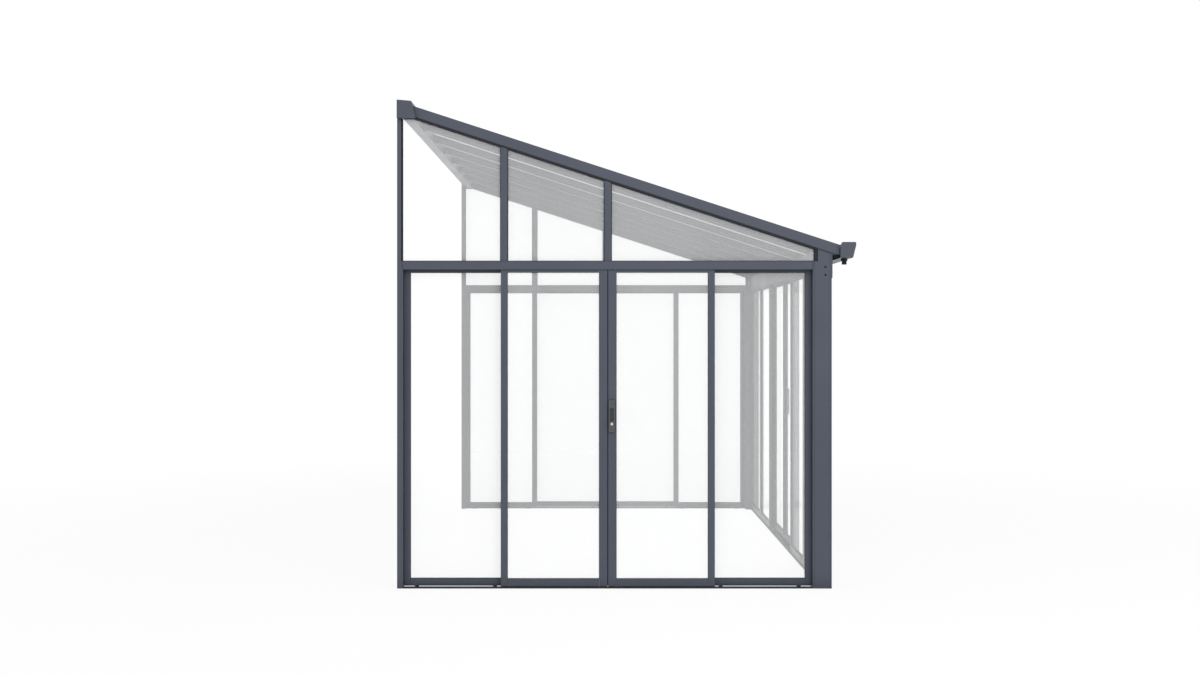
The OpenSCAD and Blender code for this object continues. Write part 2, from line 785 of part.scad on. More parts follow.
ledger();
ledger_end_caps();
side_rafters();
roof_rafters();
rafter_caps();
roof_panels();
eave_beam();
gutter();
gutter_end_caps();
gutter_outlet();
front_posts();
post_head_brackets();
wall_jambs();
side_transoms();
front_head_track();
side_sill_tracks();
front_sill_track();
gable_mullions();
gable_seals();
gable_panes();
left_fixed_frames();
right_fixed_frames();
front_fixed_frames();
fixed_panes();
fixed_panel_blocks();
left_rear_leaf_frame();
left_rear_leaf_pane();
left_rear_leaf_rollers();
left_front_leaf_frame();
left_front_leaf_pane();
left_front_leaf_rollers();
left_door_handle();
right_rear_leaf_frame();
right_rear_leaf_pane();
right_rear_leaf_rollers();
right_front_leaf_frame();
right_front_leaf_pane();
right_front_leaf_rollers();
right_door_handle();
front_left_leaf_frame();
front_left_leaf_pane();
front_left_leaf_rollers();
front_right_leaf_frame();
front_right_leaf_pane();
front_right_leaf_rollers();
front_door_handle();
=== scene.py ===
"""Looks of the lean-to glazed patio room: finishes, seals, fittings and a pale studio."""

import json
import math

import bmesh
import bpy
import numpy as np

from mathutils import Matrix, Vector


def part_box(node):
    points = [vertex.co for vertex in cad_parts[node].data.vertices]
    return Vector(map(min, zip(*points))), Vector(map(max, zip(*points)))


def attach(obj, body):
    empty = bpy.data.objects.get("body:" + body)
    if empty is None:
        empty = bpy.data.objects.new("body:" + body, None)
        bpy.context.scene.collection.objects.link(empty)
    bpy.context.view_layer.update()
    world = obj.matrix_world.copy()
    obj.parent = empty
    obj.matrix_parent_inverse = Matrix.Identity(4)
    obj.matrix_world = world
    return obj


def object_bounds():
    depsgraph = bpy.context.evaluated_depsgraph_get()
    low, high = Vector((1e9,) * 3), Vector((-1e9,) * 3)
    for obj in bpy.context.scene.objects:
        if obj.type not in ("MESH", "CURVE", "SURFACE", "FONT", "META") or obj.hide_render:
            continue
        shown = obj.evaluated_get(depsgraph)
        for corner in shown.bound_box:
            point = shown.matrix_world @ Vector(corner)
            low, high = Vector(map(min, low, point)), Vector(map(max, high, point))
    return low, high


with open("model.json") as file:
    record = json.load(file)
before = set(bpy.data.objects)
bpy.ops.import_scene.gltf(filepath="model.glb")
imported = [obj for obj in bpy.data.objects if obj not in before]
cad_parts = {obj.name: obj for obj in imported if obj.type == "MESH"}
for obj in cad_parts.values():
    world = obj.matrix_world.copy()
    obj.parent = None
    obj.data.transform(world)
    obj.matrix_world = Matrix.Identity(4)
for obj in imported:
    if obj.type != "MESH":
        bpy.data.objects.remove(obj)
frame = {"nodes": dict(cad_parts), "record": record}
CAD_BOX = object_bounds()

bl_info = {
    "name": "Patio Room Finish",
    "version": (1, 0, 0),
    "blender": (4, 5, 0),
    "location": "View3D > Sidebar > Patio Room",
    "description": "Dresses the packed lean-to patio room with finishes, seals and fittings",
    "category": "Object",
}

LEAF_NAMES = ("left_rear", "left_front", "right_rear", "right_front", "front_left", "front_right")
HANDLED_LEAVES = {
    "left_door_handle": "left_front_leaf",
    "right_door_handle": "right_front_leaf",
    "front_door_handle": "front_left_leaf",
}
MEETING_LEAVES = {"left_rear": "left_front", "right_rear": "right_front",
                  "front_right": "front_left"}
X, Y, Z = np.eye(3)
WHITE = (1.0, 1.0, 1.0, 1.0)
WALL_FACE = -2.15  # outside of the left wall, in Y
MERGE = 1e-6  # points closer than this become one
SAME = 1e-4  # coordinates closer than this count as equal
SMOOTH_BELOW = math.radians(38)  # edges flatter than this are shaded smooth
RUBBER_CORNER = 0.0008  # cut corners of a moulded rubber strip


def linear(red, green, blue):
    """Scene-linear colour of an 8-bit display colour."""
    share = np.array([red, green, blue]) / 255.0
    curve = np.where(share <= 0.04045, share / 12.92, ((share + 0.055) / 1.055) ** 2.4)
    return tuple(float(c) for c in curve)


# Settings


class PatioFinishSettings(bpy.types.PropertyGroup):
    """Colours and coats of the room's materials."""

    frame_color: bpy.props.FloatVectorProperty(
        name="Frame paint", description="Powder coat of the aluminium profiles",
        default=linear(73, 78, 90), subtype="COLOR", min=0, max=1)
    track_color: bpy.props.FloatVectorProperty(
        name="Sill track", description="Dark anodised sill tracks",
        default=linear(44, 47, 53), subtype="COLOR", min=0, max=1)
    rubber_color: bpy.props.FloatVectorProperty(
        name="Rubber", description="Seals and glazing gaskets",
        default=linear(38, 40, 46), subtype="COLOR", min=0, max=1)
    plastic_color: bpy.props.FloatVectorProperty(
        name="Black plastic", description="Outlet, blocks, carriages, foam and small fittings",
        default=linear(30, 31, 34), subtype="COLOR", min=0, max=1)
    handle_color: bpy.props.FloatVectorProperty(
        name="Handle", description="Moulded door handles",
        default=linear(80, 83, 83), subtype="COLOR", min=0, max=1)
    # Painted shade: the recess liner is darker to stand in for the shade in the finger recess.
    recess_shade_color: bpy.props.FloatVectorProperty(
        name="Handle recess", description="Liner of the handles' finger recess",
        default=linear(56, 60, 60), subtype="COLOR", min=0, max=1)
    steel_color: bpy.props.FloatVectorProperty(
        name="Bright steel", description="Lock faces and cap screws",
        default=(0.62, 0.63, 0.64), subtype="COLOR", min=0, max=1)
    glass_color: bpy.props.FloatVectorProperty(
        name="Glazing", description="Tint of the clear wall glazing",
        default=(0.99, 1.0, 0.998), subtype="COLOR", min=0, max=1)
    glass_veil: bpy.props.FloatProperty(
        name="Glazing veil", description="Share of what lies behind a pane that each face hides",
        default=0.18, min=0, max=1, subtype="FACTOR")
    # Painted light: the panes glow by their own emission, with no lamp behind it.
    glass_painted_glow: bpy.props.FloatProperty(
        name="Glazing glow", description="Brightness of the veil that owes nothing to the lamps",
        default=0.05, min=0, max=1, subtype="FACTOR")
    roof_color: bpy.props.FloatVectorProperty(
        name="Roof sheet", description="Translucent white roof sheets",
        default=(0.32, 0.325, 0.325), subtype="COLOR", min=0, max=1)
    # Painted light: an emission that makes the roof sheets glow as if daylight came through them.
    roof_painted_glow: bpy.props.FloatProperty(
        name="Roof glow", description="Daylight that a roof sheet spreads from above",
        default=0.46, min=0, max=1, subtype="FACTOR")
    roof_cover: bpy.props.FloatProperty(
        name="Roof cover", description="Share of the sky that each face of a roof sheet hides",
        default=0.8, min=0, max=1, subtype="FACTOR")
    edge_round: bpy.props.FloatProperty(
        name="Edge rounding", description="Rounding of the profiles' edges",
        default=0.0012, unit="LENGTH", min=0, max=0.004)


class PatioTrimSettings(bpy.types.PropertyGroup):
    """Sizes of the seals, profiles and fasteners."""

    gasket_width: bpy.props.FloatProperty(
        name="Gasket width", description="Width of a glazing gasket on the pane",
        default=0.002, unit="LENGTH", min=0.001, max=0.012)
    gasket_height: bpy.props.FloatProperty(
        name="Gasket height", description="Height of a glazing gasket over the pane",
        default=0.006, unit="LENGTH", min=0.002, max=0.009)
    pane_bite: bpy.props.FloatProperty(
        name="Pane bite", description="Depth of a wall pane in its frame's groove",
        default=0.008, unit="LENGTH", min=0.004, max=0.012)
    gable_gasket: bpy.props.FloatProperty(
        name="Gable gasket width", description="Width of a gasket on a gable pane",
        default=0.0045, unit="LENGTH", min=0.002, max=0.012)
    rafter_bite: bpy.props.FloatProperty(
        name="Rafter bite", description="Depth of a gable pane in the side rafter",
        default=0.009, unit="LENGTH", min=0.004, max=0.012)
    mullion_bite: bpy.props.FloatProperty(
        name="Mullion bite", description="Depth of a gable pane in a mullion",
        default=0.006, unit="LENGTH", min=0.003, max=0.01)
    lip_bottom: bpy.props.FloatProperty(
        name="Lip bottom", description="Underside of the side rafters, from their tops",
        default=-0.075, unit="LENGTH", min=-0.1, max=-0.05)
    strip_height: bpy.props.FloatProperty(
        name="Drip strip height", description="Height of the strip under a side rafter",
        default=0.009, unit="LENGTH", min=0.004, max=0.011)
    strip_depth: bpy.props.FloatProperty(
        name="Drip strip depth", description="Thickness of that strip",
        default=0.003, unit="LENGTH", min=0.002, max=0.005)
    strip_middle: bpy.props.FloatProperty(
        name="Drip strip place", description="Middle of that strip inward of the wall's outside",
        default=0.0043, unit="LENGTH", min=0.002, max=0.005)
    cap_clear: bpy.props.FloatProperty(
        name="Cap clearance", description="Edge of a roof sheet that a rafter cap covers",
        default=0.028, unit="LENGTH", min=0.02, max=0.05)
    cap_gasket: bpy.props.FloatProperty(
        name="Cap gasket", description="Width of the gasket under each edge of a rafter cap",
        default=0.006, unit="LENGTH", min=0.003, max=0.012)
    cap_screw: bpy.props.FloatProperty(
        name="Cap screw", description="Radius of a screw head on a rafter cap",
        default=0.0055, unit="LENGTH", min=0.003, max=0.008)
    cap_screw_count: bpy.props.IntProperty(
        name="Screws in a cap", description="Number of screws along a rafter cap",
        default=9, min=2, max=20)
    end_profile_wall: bpy.props.FloatProperty(
        name="End profile wall", description="Wall of the profile on a roof sheet's lower end",
        default=0.0015, unit="LENGTH", min=0.0008, max=0.003)
    end_profile_leg: bpy.props.FloatProperty(
        name="End profile leg", description="Length of that profile's legs along the sheet",
        default=0.016, unit="LENGTH", min=0.008, max=0.03)
    screw_radius: bpy.props.FloatProperty(
        name="Screw head", description="Radius of the dark bracket screws",
        default=0.0075, unit="LENGTH", min=0.003, max=0.01)
    post_screw_in: bpy.props.FloatProperty(
        name="Post screw place", description="Post screws back from the post's front",
        default=0.041, unit="LENGTH", min=0.02, max=0.1)
    post_screw_low: bpy.props.FloatProperty(
        name="Lower post screw", description="Height of the lower post screw",
        default=2.008, unit="LENGTH", min=1.9, max=2.1)
    post_screw_high: bpy.props.FloatProperty(
        name="Upper post screw", description="Height of the upper post screw",
        default=2.0585, unit="LENGTH", min=1.9, max=2.1)
    meeting_seal_width: bpy.props.FloatProperty(
        name="Meeting seal width", description="Width of the seal between two closed leaves",
        default=0.0049, unit="LENGTH", min=0.003, max=0.0049)
    meeting_seal_depth: bpy.props.FloatProperty(
        name="Meeting seal depth", description="Depth of that seal across the leaves",
        default=0.006, unit="LENGTH", min=0.003, max=0.007)
    meeting_seal_in: bpy.props.FloatProperty(
        name="Meeting seal place", description="Place of that seal behind the leaves' middle",
        default=0.008, unit="LENGTH", min=0, max=0.0085)
    brush_in: bpy.props.FloatProperty(
        name="Brush place", description="Middle of a brush outward from the edge of its pane",
        default=0.018, unit="LENGTH", min=0.005, max=0.03)
    brush_width: bpy.props.FloatProperty(
        name="Brush width", description="Width of the pile of an interlock brush",
        default=0.007, unit="LENGTH", min=0.004, max=0.012)
    brush_depth: bpy.props.FloatProperty(
        name="Brush depth", description="Reach of the pile towards the fixed panels",
        default=0.0125, unit="LENGTH", min=0.006, max=0.013)
    brush_low: bpy.props.FloatProperty(
        name="Brush foot", description="Height of a brush's lower end",
        default=0.03, unit="LENGTH", min=0.02, max=0.1)
    brush_high: bpy.props.FloatProperty(
        name="Brush head", description="Height of a brush's upper end",
        default=2.038, unit="LENGTH", min=1.9, max=2.05)
    lock_radius: bpy.props.FloatProperty(
        name="Lock face", description="Radius of the bright lock face",
        default=0.0092, unit="LENGTH", min=0.005, max=0.0095)
    lock_rise: bpy.props.FloatProperty(
        name="Lock height", description="Lock axis over the handle's lower end",
        default=0.052, unit="LENGTH", min=0.02, max=0.1)
    barrel_out: bpy.props.FloatProperty(
        name="Barrel length", description="How far the lock barrel stands out of the handle",
        default=0.002, unit="LENGTH", min=0.001, max=0.004)
    handle_middle: bpy.props.FloatProperty(
        name="Handle middle", description="Half the width of the handle's plate",
        default=0.02, unit="LENGTH", min=0.01, max=0.03)
    recess_rise: bpy.props.FloatProperty(
        name="Recess height", description="Middle of the finger recess over the handle's end",
        default=0.11125, unit="LENGTH", min=0.08, max=0.15)
    recess_depth: bpy.props.FloatProperty(
        name="Recess depth", description="Depth of the finger recess",
        default=0.0083, unit="LENGTH", min=0.003, max=0.011)
    recess_width: bpy.props.FloatProperty(
        name="Liner width", description="Width of the dark liner in the recess",
        default=0.0232, unit="LENGTH", min=0.01, max=0.024)
    recess_height: bpy.props.FloatProperty(
        name="Liner height", description="Height of the dark liner in the recess",
        default=0.0826, unit="LENGTH", min=0.05, max=0.0835)
    handle_screw_low: bpy.props.FloatProperty(
        name="Lower handle screw", description="Lower screw over the handle's lower end",
        default=0.016, unit="LENGTH", min=0.01, max=0.03)
    handle_screw_high: bpy.props.FloatProperty(
        name="Upper handle screw", description="Upper screw over the handle's lower end",
        default=0.185, unit="LENGTH", min=0.16, max=0.2)


class PatioStageSettings(bpy.types.PropertyGroup):
    """Camera, light and floor."""

    camera_offset: bpy.props.FloatProperty(
        name="Camera offset", description="Camera distance from the house wall, along the depth",
        default=1.299, unit="LENGTH")
    camera_height: bpy.props.FloatProperty(
        name="Camera height", description="Camera height over the ground",
        default=1.607, unit="LENGTH")
    camera_distance: bpy.props.FloatProperty(
        name="Camera distance", description="Camera distance from the side wall's outside",
        default=9.079, unit="LENGTH")
    lens: bpy.props.FloatProperty(
        name="Lens", description="Focal length for a 36 mm wide sensor",
        default=42.56, unit="CAMERA", min=10, max=200)
    sky: bpy.props.FloatProperty(
        name="Sky light", description="Strength of the even white surround",
        default=0.82, min=0, max=2)
    key: bpy.props.FloatProperty(
        name="Key light", description="Strength of the large soft lamp over the camera",
        default=260.0, unit="POWER", min=0, max=5000)


# Mesh helpers


def node_points(name):
    """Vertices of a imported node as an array."""
    mesh = frame["nodes"][name].data
    points = np.empty(len(mesh.vertices) * 3)
    mesh.vertices.foreach_get("co", points)
    return points.reshape(-1, 3)


def node_solids(name):
    """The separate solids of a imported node, each as an array of its points.

    Triangles that share a point get one label: labels spread by minimum until they settle.
    """
    points = node_points(name)
    mesh = frame["nodes"][name].data
    corners = np.empty(len(mesh.loops), dtype=np.int64)
    mesh.loops.foreach_get("vertex_index", corners)
    unique, merged = np.unique(np.round(points, 6), axis=0, return_inverse=True)
    triangles = merged.reshape(-1)[corners].reshape(-1, 3)
    labels = np.arange(len(unique))
    while True:
        spread = labels.copy()
        np.minimum.at(spread, triangles.ravel(), np.repeat(labels[triangles].min(axis=1), 3))
        spread = spread[spread]
        if np.array_equal(spread, labels):
            break
        labels = spread
    return [unique[labels == label] for label in np.unique(labels)]


def piece(name, shape, body, slot, look=None):
    """A mesh object at the origin that rides on a body.

    The shape is a pair of points and quads. The finish is the slot's own, or the one named look.
    """
    points, quads = shape
    mesh = bpy.data.meshes.new(name)
    mesh.from_pydata(points.tolist(), [], quads.tolist())
    shape = bmesh.new()
    shape.from_mesh(mesh)
    bmesh.ops.remove_doubles(shape, verts=shape.verts, dist=MERGE)
    bmesh.ops.recalc_face_normals(shape, faces=shape.faces)
    shape.to_mesh(mesh)
    shape.free()
    mesh.shade_smooth()
    mesh.set_sharp_from_angle(angle=SMOOTH_BELOW)
    made = bpy.data.objects.new(name, mesh)
    bpy.context.scene.collection.objects.link(made)
    mesh.materials.append(finish(look or slot))
    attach(made, body)


def joined(parts):
    """Several (points, quads) pairs as one pair, with the indices moved on."""
    starts = np.cumsum([0] + [len(points) for points, _ in parts[:-1]])
    return (np.concatenate([points for points, _ in parts]),
            np.concatenate([quads + start for (_, quads), start in zip(parts, starts)]))


def grid_quads(rows, columns, wrap_rows, wrap_columns):
    """Faces of a grid of points; a wrapped direction joins its last line to its first."""
    row = np.arange(rows if wrap_rows else rows - 1)[:, None]
    column = np.arange(columns if wrap_columns else columns - 1)[None, :]
    next_row = (row + 1) % rows
    next_column = (column + 1) % columns
    return np.stack([row * columns + column, row * columns + next_column,
                     next_row * columns + next_column, next_row * columns + column],
                    axis=-1).reshape(-1, 4)


def bead_profile(width, height, steps=8):
    """Half ellipse standing on its flat side: across = w(1 - cos t)/2, up = h sin t."""
    turn = np.linspace(0, math.pi, steps)
    return np.stack([width * (1 - np.cos(turn)) / 2, height * np.sin(turn)], axis=1)


def mitred_ring(corners, outward, profile):
    """Profile carried round a convex outline with mitred corners.

    Each corner moves inward along its bisector by the profile's across value over the sine of
    half the corner angle, and along outward by its up value. The corners run so that inward is
    to the left of the path seen from the tip of outward.
    """
    corners = np.asarray(corners)
    along = np.roll(corners, -1, axis=0) - corners
    along = along / np.linalg.norm(along, axis=1, keepdims=True)
    inward = np.cross(outward, along)
    before = np.roll(inward, 1, axis=0)
    bisector = inward + before
    bisector = bisector / (1 + np.sum(inward * before, axis=1, keepdims=True))
    points = (corners[:, None, :] + profile[None, :, :1] * bisector[:, None, :]
              + profile[None, :, 1:] * outward)
    return points.reshape(-1, 3), grid_quads(len(corners), len(profile), True, True)[:, ::-1]


def drawn_out(profile, start, end, across, up):
    """Closed profile drawn straight from start to end, both ends closed by a fan of quads."""
    profile = np.asarray(profile)
    section = profile[:, :1] * across + profile[:, 1:] * up
    points = np.concatenate([start + section, end + section])
    count = len(profile)
    sides = grid_quads(2, count, False, True)
    half = count // 2
    first = np.arange(half - 1)
    cap = np.stack([first, first + 1, count - 2 - first, count - 1 - first], axis=1)
    return points, np.concatenate([sides, cap[:, ::-1], cap + count])


def turned(profile, centre, axis, steps=24):
    """Surface of revolution: radius and height pairs turned about axis through centre."""
    profile = np.asarray(profile)
    axis = np.asarray(axis, dtype=float)
    side = np.cross(axis, Z if abs(axis[2]) < 0.9 else X)
    side = side / np.linalg.norm(side)
    other = np.cross(axis, side)
    angle = np.linspace(0, 2 * math.pi, steps, endpoint=False)
    ring = np.cos(angle)[:, None] * side + np.sin(angle)[:, None] * other
    points = (np.asarray(centre) + profile[:, None, :1] * ring[None] + profile[:, None, 1:] * axis)
    return points.reshape(-1, 3), grid_quads(len(profile), steps, False, True)[:, ::-1]


# Materials

NOISE_SPAN = (0.3, 0.7)  # most values of a noise lie between these
CORNER_REACH = 0.1  # distance from a corner within which it shades a finish
VEIL_DRIFT = 0.06  # share by which dust makes the panes' veil stronger and weaker
SHEET_WALL_PITCH = 0.011  # distance between the inner walls of a roof sheet
SHEET_WALL_DRIFT = 0.07  # share by which those walls change the sheet's cover
GLASS_EDGE_PART = 3  # panes and sheets have this part of the profiles' edge rounding


def blank_material(name):
    """A new material, its node tree and its principled shader."""
    material = bpy.data.materials.new(name)
    material.use_nodes = True
    return material, material.node_tree, material.node_tree.nodes["Principled BSDF"]


def grain(tree, per_metre, detail=2.0, stretch=(1.0, 1.0, 1.0)):
    """Noise on object coordinates with per_metre grains to the metre, stretched by axis."""
    place = tree.nodes.new("ShaderNodeTexCoord")
    mapping = tree.nodes.new("ShaderNodeMapping")
    noise = tree.nodes.new("ShaderNodeTexNoise")
    mapping.inputs["Scale"].default_value = stretch
    noise.inputs["Scale"].default_value = per_metre
    noise.inputs["Detail"].default_value = detail
    tree.links.new(place.outputs["Object"], mapping.inputs["Vector"])
    tree.links.new(mapping.outputs["Vector"], noise.inputs["Vector"])
    return noise.outputs["Fac"]


def ranged(tree, value, low, high):
    """The middle span of a noise value, spread between low and high."""
    node = tree.nodes.new("ShaderNodeMapRange")
    node.inputs["From Min"].default_value, node.inputs["From Max"].default_value = NOISE_SPAN
    node.inputs["To Min"].default_value = low
    node.inputs["To Max"].default_value = high
    tree.links.new(value, node.inputs["Value"])
    return node.outputs["Result"]


def mottled(tree, value, color, spread):
    """A colour that a noise value makes lighter or darker by up to spread."""
    ramp = tree.nodes.new("ShaderNodeValToRGB")
    shares = (1 - spread, 1 + spread)
    for element, position, share in zip(ramp.color_ramp.elements, NOISE_SPAN, shares):
        element.position = position
        element.color = (*[min(1.0, channel * share) for channel in color], 1.0)
    tree.links.new(value, ramp.inputs["Fac"])
    return ramp.outputs["Color"]


def bumped(tree, shader, height, distance, strength):
    """Bump on the shader from a height value that spans the distance in metres."""
    bump = tree.nodes.new("ShaderNodeBump")
    bump.inputs["Distance"].default_value = distance
    bump.inputs["Strength"].default_value = strength
    tree.links.new(height, bump.inputs["Height"])
    tree.links.new(bump.outputs["Normal"], shader.inputs["Normal"])


def corner_shade(tree, color, reach, least):
    """Painted shade: a colour that darkens towards the share least in corners closer than reach.
    """
    hidden = tree.nodes.new("ShaderNodeAmbientOcclusion")
    hidden.samples = 8
    hidden.inputs["Distance"].default_value = reach
    share = tree.nodes.new("ShaderNodeMapRange")
    share.inputs["To Min"].default_value = least
    mix = tree.nodes.new("ShaderNodeMix")
    mix.data_type = "RGBA"
    mix.blend_type = "MULTIPLY"
    colors = [socket for socket in mix.inputs if socket.type == "RGBA"]
    mix.inputs["Factor"].default_value = 1.0
    tree.links.new(hidden.outputs["AO"], share.inputs["Value"])
    tree.links.new(color, colors[0])
    tree.links.new(share.outputs["Result"], colors[1])
    return next(socket for socket in mix.outputs if socket.type == "RGBA")


def solid_finish(name, color, rough, spread, cloud, texture, bump, stretch=(1.0, 1.0, 1.0),
                 metallic=0.0, gloss=0.3, painted_corner_shade=1.0):
    """An opaque finish: cloudy colour and roughness over a fine surface texture.

    cloud and texture are grains to the metre, rough is the lowest and highest roughness, and
    bump is the texture's height in metres and gloss the strength of its reflections. Below 1,
    the last argument is the share of the colour that is left deep in a corner: painted shade
    that darkens corners and recesses.
    """
    material, tree, shader = blank_material(name)
    clouds = grain(tree, cloud, detail=3.0, stretch=stretch)
    fine = grain(tree, texture, stretch=stretch)
    tint = mottled(tree, clouds, color, spread)
    # Painted shade: ambient occlusion darkens the colour in corners and recesses.
    if painted_corner_shade < 1:
        tint = corner_shade(tree, tint, CORNER_REACH, painted_corner_shade)
    tree.links.new(tint, shader.inputs["Base Color"])
    tree.links.new(ranged(tree, clouds, *rough), shader.inputs["Roughness"])
    shader.inputs["Metallic"].default_value = metallic
    shader.inputs["Specular IOR Level"].default_value = gloss
    bumped(tree, shader, fine, bump, strength=0.6)
    return material


def frame_paint(settings):
    """Satin powder coat: fine orange peel, a faint unevenness of gloss and painted shade that
    darkens its corners and recesses.
    """
    return solid_finish("finish_frame_paint", settings.frame_color,
                        rough=(0.36, 0.5), spread=0.05, cloud=2.5, texture=650.0,
                        bump=0.00003, painted_corner_shade=0.38)


def sill_track_finish(settings):
    """Dark anodised track, brushed by the rollers along its run."""
    return solid_finish("finish_dark_track", settings.track_color,
                        rough=(0.3, 0.55), spread=0.16, cloud=9.0, texture=420.0,
                        bump=0.00008, stretch=(0.25, 0.25, 1.0), metallic=0.3)


def seal_rubber(settings):
    """Matte seal rubber with a dusty bloom."""
    return solid_finish("finish_black_rubber", settings.rubber_color,
                        rough=(0.62, 0.82), spread=0.14, cloud=30.0, texture=900.0,
                        bump=0.00005)


def moulded_plastic(settings):
    """Spark-textured black plastic."""
    return solid_finish("finish_black_plastic", settings.plastic_color,
                        rough=(0.42, 0.6), spread=0.1, cloud=18.0, texture=1400.0,
                        bump=0.00007)


def gap_shade_foam(settings):
    """Black closure foam with open cells and no gloss; its black paints the shade of the gap under
    the eave.
    """
    return solid_finish("finish_gap_shade_foam", settings.plastic_color,
                        rough=(0.9, 0.98), spread=0.12, cloud=45.0, texture=700.0,
                        bump=0.00012, gloss=0.0)


def handle_plastic(settings):
    """Grey moulded handle, slightly polished by hands."""
    return solid_finish("finish_handle_grey", settings.handle_color,
                        rough=(0.34, 0.52), spread=0.06, cloud=22.0, texture=1100.0,
                        bump=0.00005)


def recess_shade_plastic(settings):
    """Painted shade: darker moulded plastic that lines the finger recess of a handle, standing in
    for the shade there.
    """
    return solid_finish("finish_recess_shade_grey", settings.recess_shade_color,
                        rough=(0.45, 0.62), spread=0.08, cloud=25.0, texture=1200.0,
                        bump=0.00006)


def bright_steel(settings):
    """Bright steel of the lock faces and cap screws, finely turned."""
    return solid_finish("finish_bright_steel", settings.steel_color,
                        rough=(0.22, 0.36), spread=0.05, cloud=60.0, texture=1500.0,
                        bump=0.00003, metallic=1.0)


def wall_glazing(settings):
    """Clear pane with a white veil, a little stronger and duller in faint drifts of dust."""
    material, tree, shader = blank_material("finish_clear_glazing")
    shader.inputs["Base Color"].default_value = (*settings.glass_color, 1.0)
    shader.inputs["IOR"].default_value = 1.5
    # Painted light: this emission makes the veil glow a little, with no lamp behind it.
    shader.inputs["Emission Color"].default_value = WHITE
    shader.inputs["Emission Strength"].default_value = settings.glass_painted_glow
    drift = grain(tree, per_metre=1.6, detail=3.0, stretch=(1.0, 1.0, 0.5))
    veil = settings.glass_veil
    veiled = ranged(tree, drift, veil * (1 - VEIL_DRIFT), veil * (1 + VEIL_DRIFT))
    tree.links.new(veiled, shader.inputs["Alpha"])
    tree.links.new(ranged(tree, drift, low=0.03, high=0.09), shader.inputs["Roughness"])
    return material


def opal_roof_sheet(settings):
    """Opal multi-wall sheet, whose inner walls show as soft lines down the slope.

    The lines are a sine wave across the sheet. Its period is 2 pi over 20 times the scale.
    """
    material, tree, shader = blank_material("finish_roof_sheet")
    place = tree.nodes.new("ShaderNodeTexCoord")
    wave = tree.nodes.new("ShaderNodeTexWave")
    wave.bands_direction = "Y"
    wave.wave_profile = "SIN"
    wave.inputs["Scale"].default_value = 2 * math.pi / 20 / SHEET_WALL_PITCH
    tree.links.new(place.outputs["Object"], wave.inputs["Vector"])
    cover = settings.roof_cover
    clouds = grain(tree, per_metre=1.2, detail=3.0)
    tint = mottled(tree, clouds, settings.roof_color, spread=0.05)
    covered = ranged(tree, wave.outputs["Fac"], cover * (1 - SHEET_WALL_DRIFT),
                     cover * (1 + SHEET_WALL_DRIFT))
    tree.links.new(tint, shader.inputs["Base Color"])
    tree.links.new(covered, shader.inputs["Alpha"])
    tree.links.new(ranged(tree, clouds, low=0.3, high=0.45), shader.inputs["Roughness"])
    # Painted light: the sheet glows by this emission, standing for daylight through it, with no
    # lamp behind it.
    shader.inputs["Emission Color"].default_value = WHITE
    shader.inputs["Emission Strength"].default_value = settings.roof_painted_glow
    bumped(tree, shader, wave.outputs["Fac"], distance=0.0001, strength=0.4)
    return material


FINISHES = (frame_paint, sill_track_finish, wall_glazing, opal_roof_sheet, moulded_plastic,
            gap_shade_foam, seal_rubber, handle_plastic, recess_shade_plastic, bright_steel)


def finish(name):
    """A finish by its name: that of a slot of the record, or one made for the trim alone."""
    return bpy.data.materials["finish_" + name]


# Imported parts


def edge_shading_group():
    """Geometry nodes that drop stored normals and shade all but the sharp edges smooth."""
    group = bpy.data.node_groups.new("edge_shading", "GeometryNodeTree")
    for direction in ("INPUT", "OUTPUT"):
        group.interface.new_socket("Geometry", in_out=direction, socket_type="NodeSocketGeometry")
    start = group.nodes.new("NodeGroupInput")
    end = group.nodes.new("NodeGroupOutput")
    angle = group.nodes.new("GeometryNodeInputMeshEdgeAngle")
    sharp = group.nodes.new("FunctionNodeCompare")
    normals = group.nodes.new("GeometryNodeSetMeshNormal")
    normals.mode = "SHARPNESS"
    normals.inputs["Remove Custom"].default_value = True
    sharp.inputs["B"].default_value = SMOOTH_BELOW
    group.links.new(angle.outputs["Unsigned Angle"], sharp.inputs["A"])
    group.links.new(sharp.outputs["Result"], normals.inputs["Edge Sharpness"])
    group.links.new(start.outputs["Geometry"], normals.inputs["Mesh"])
    group.links.new(normals.outputs["Mesh"], end.inputs["Geometry"])
    return group


def round_edges(node, width, shading):
    """Modifiers that join a node's triangles, round its edges and shade it evenly."""
    join = node.modifiers.new("join_triangles", "WELD")
    join.merge_threshold = 1e-5
    flats = node.modifiers.new("merge_flats", "DECIMATE")
    flats.decimate_type = "DISSOLVE"
    flats.angle_limit = math.radians(0.3)
    rounding = node.modifiers.new("edge_rounding", "BEVEL")
    rounding.width = width
    rounding.segments = 2
    rounding.limit_method = "ANGLE"
    rounding.angle_limit = math.radians(40)
    shade = node.modifiers.new("edge_shading", "NODES")
    shade.node_group = shading
    even = node.modifiers.new("even_normals", "WEIGHTED_NORMAL")
    even.keep_sharp = True


class PATIO_OT_finish_parts(bpy.types.Operator):
    """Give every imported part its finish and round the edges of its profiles"""
    bl_idname = "patio.finish_parts"
    bl_label = "Finish the Parts"

    def execute(self, context):
        settings = context.scene.patio_finish
        for make in FINISHES:
            make(settings)
        shading = edge_shading_group()
        for part in frame["record"]["subparts"]:
            node = frame["nodes"][part["node"]]
            slot = part["material_slot"]
            for held in node.material_slots:
                held.material = finish(slot)
            glazed = slot in ("clear_glazing", "roof_sheet")
            round_edges(node, settings.edge_round / (GLASS_EDGE_PART if glazed else 1), shading)
        return {"FINISHED"}


# Wall glazing


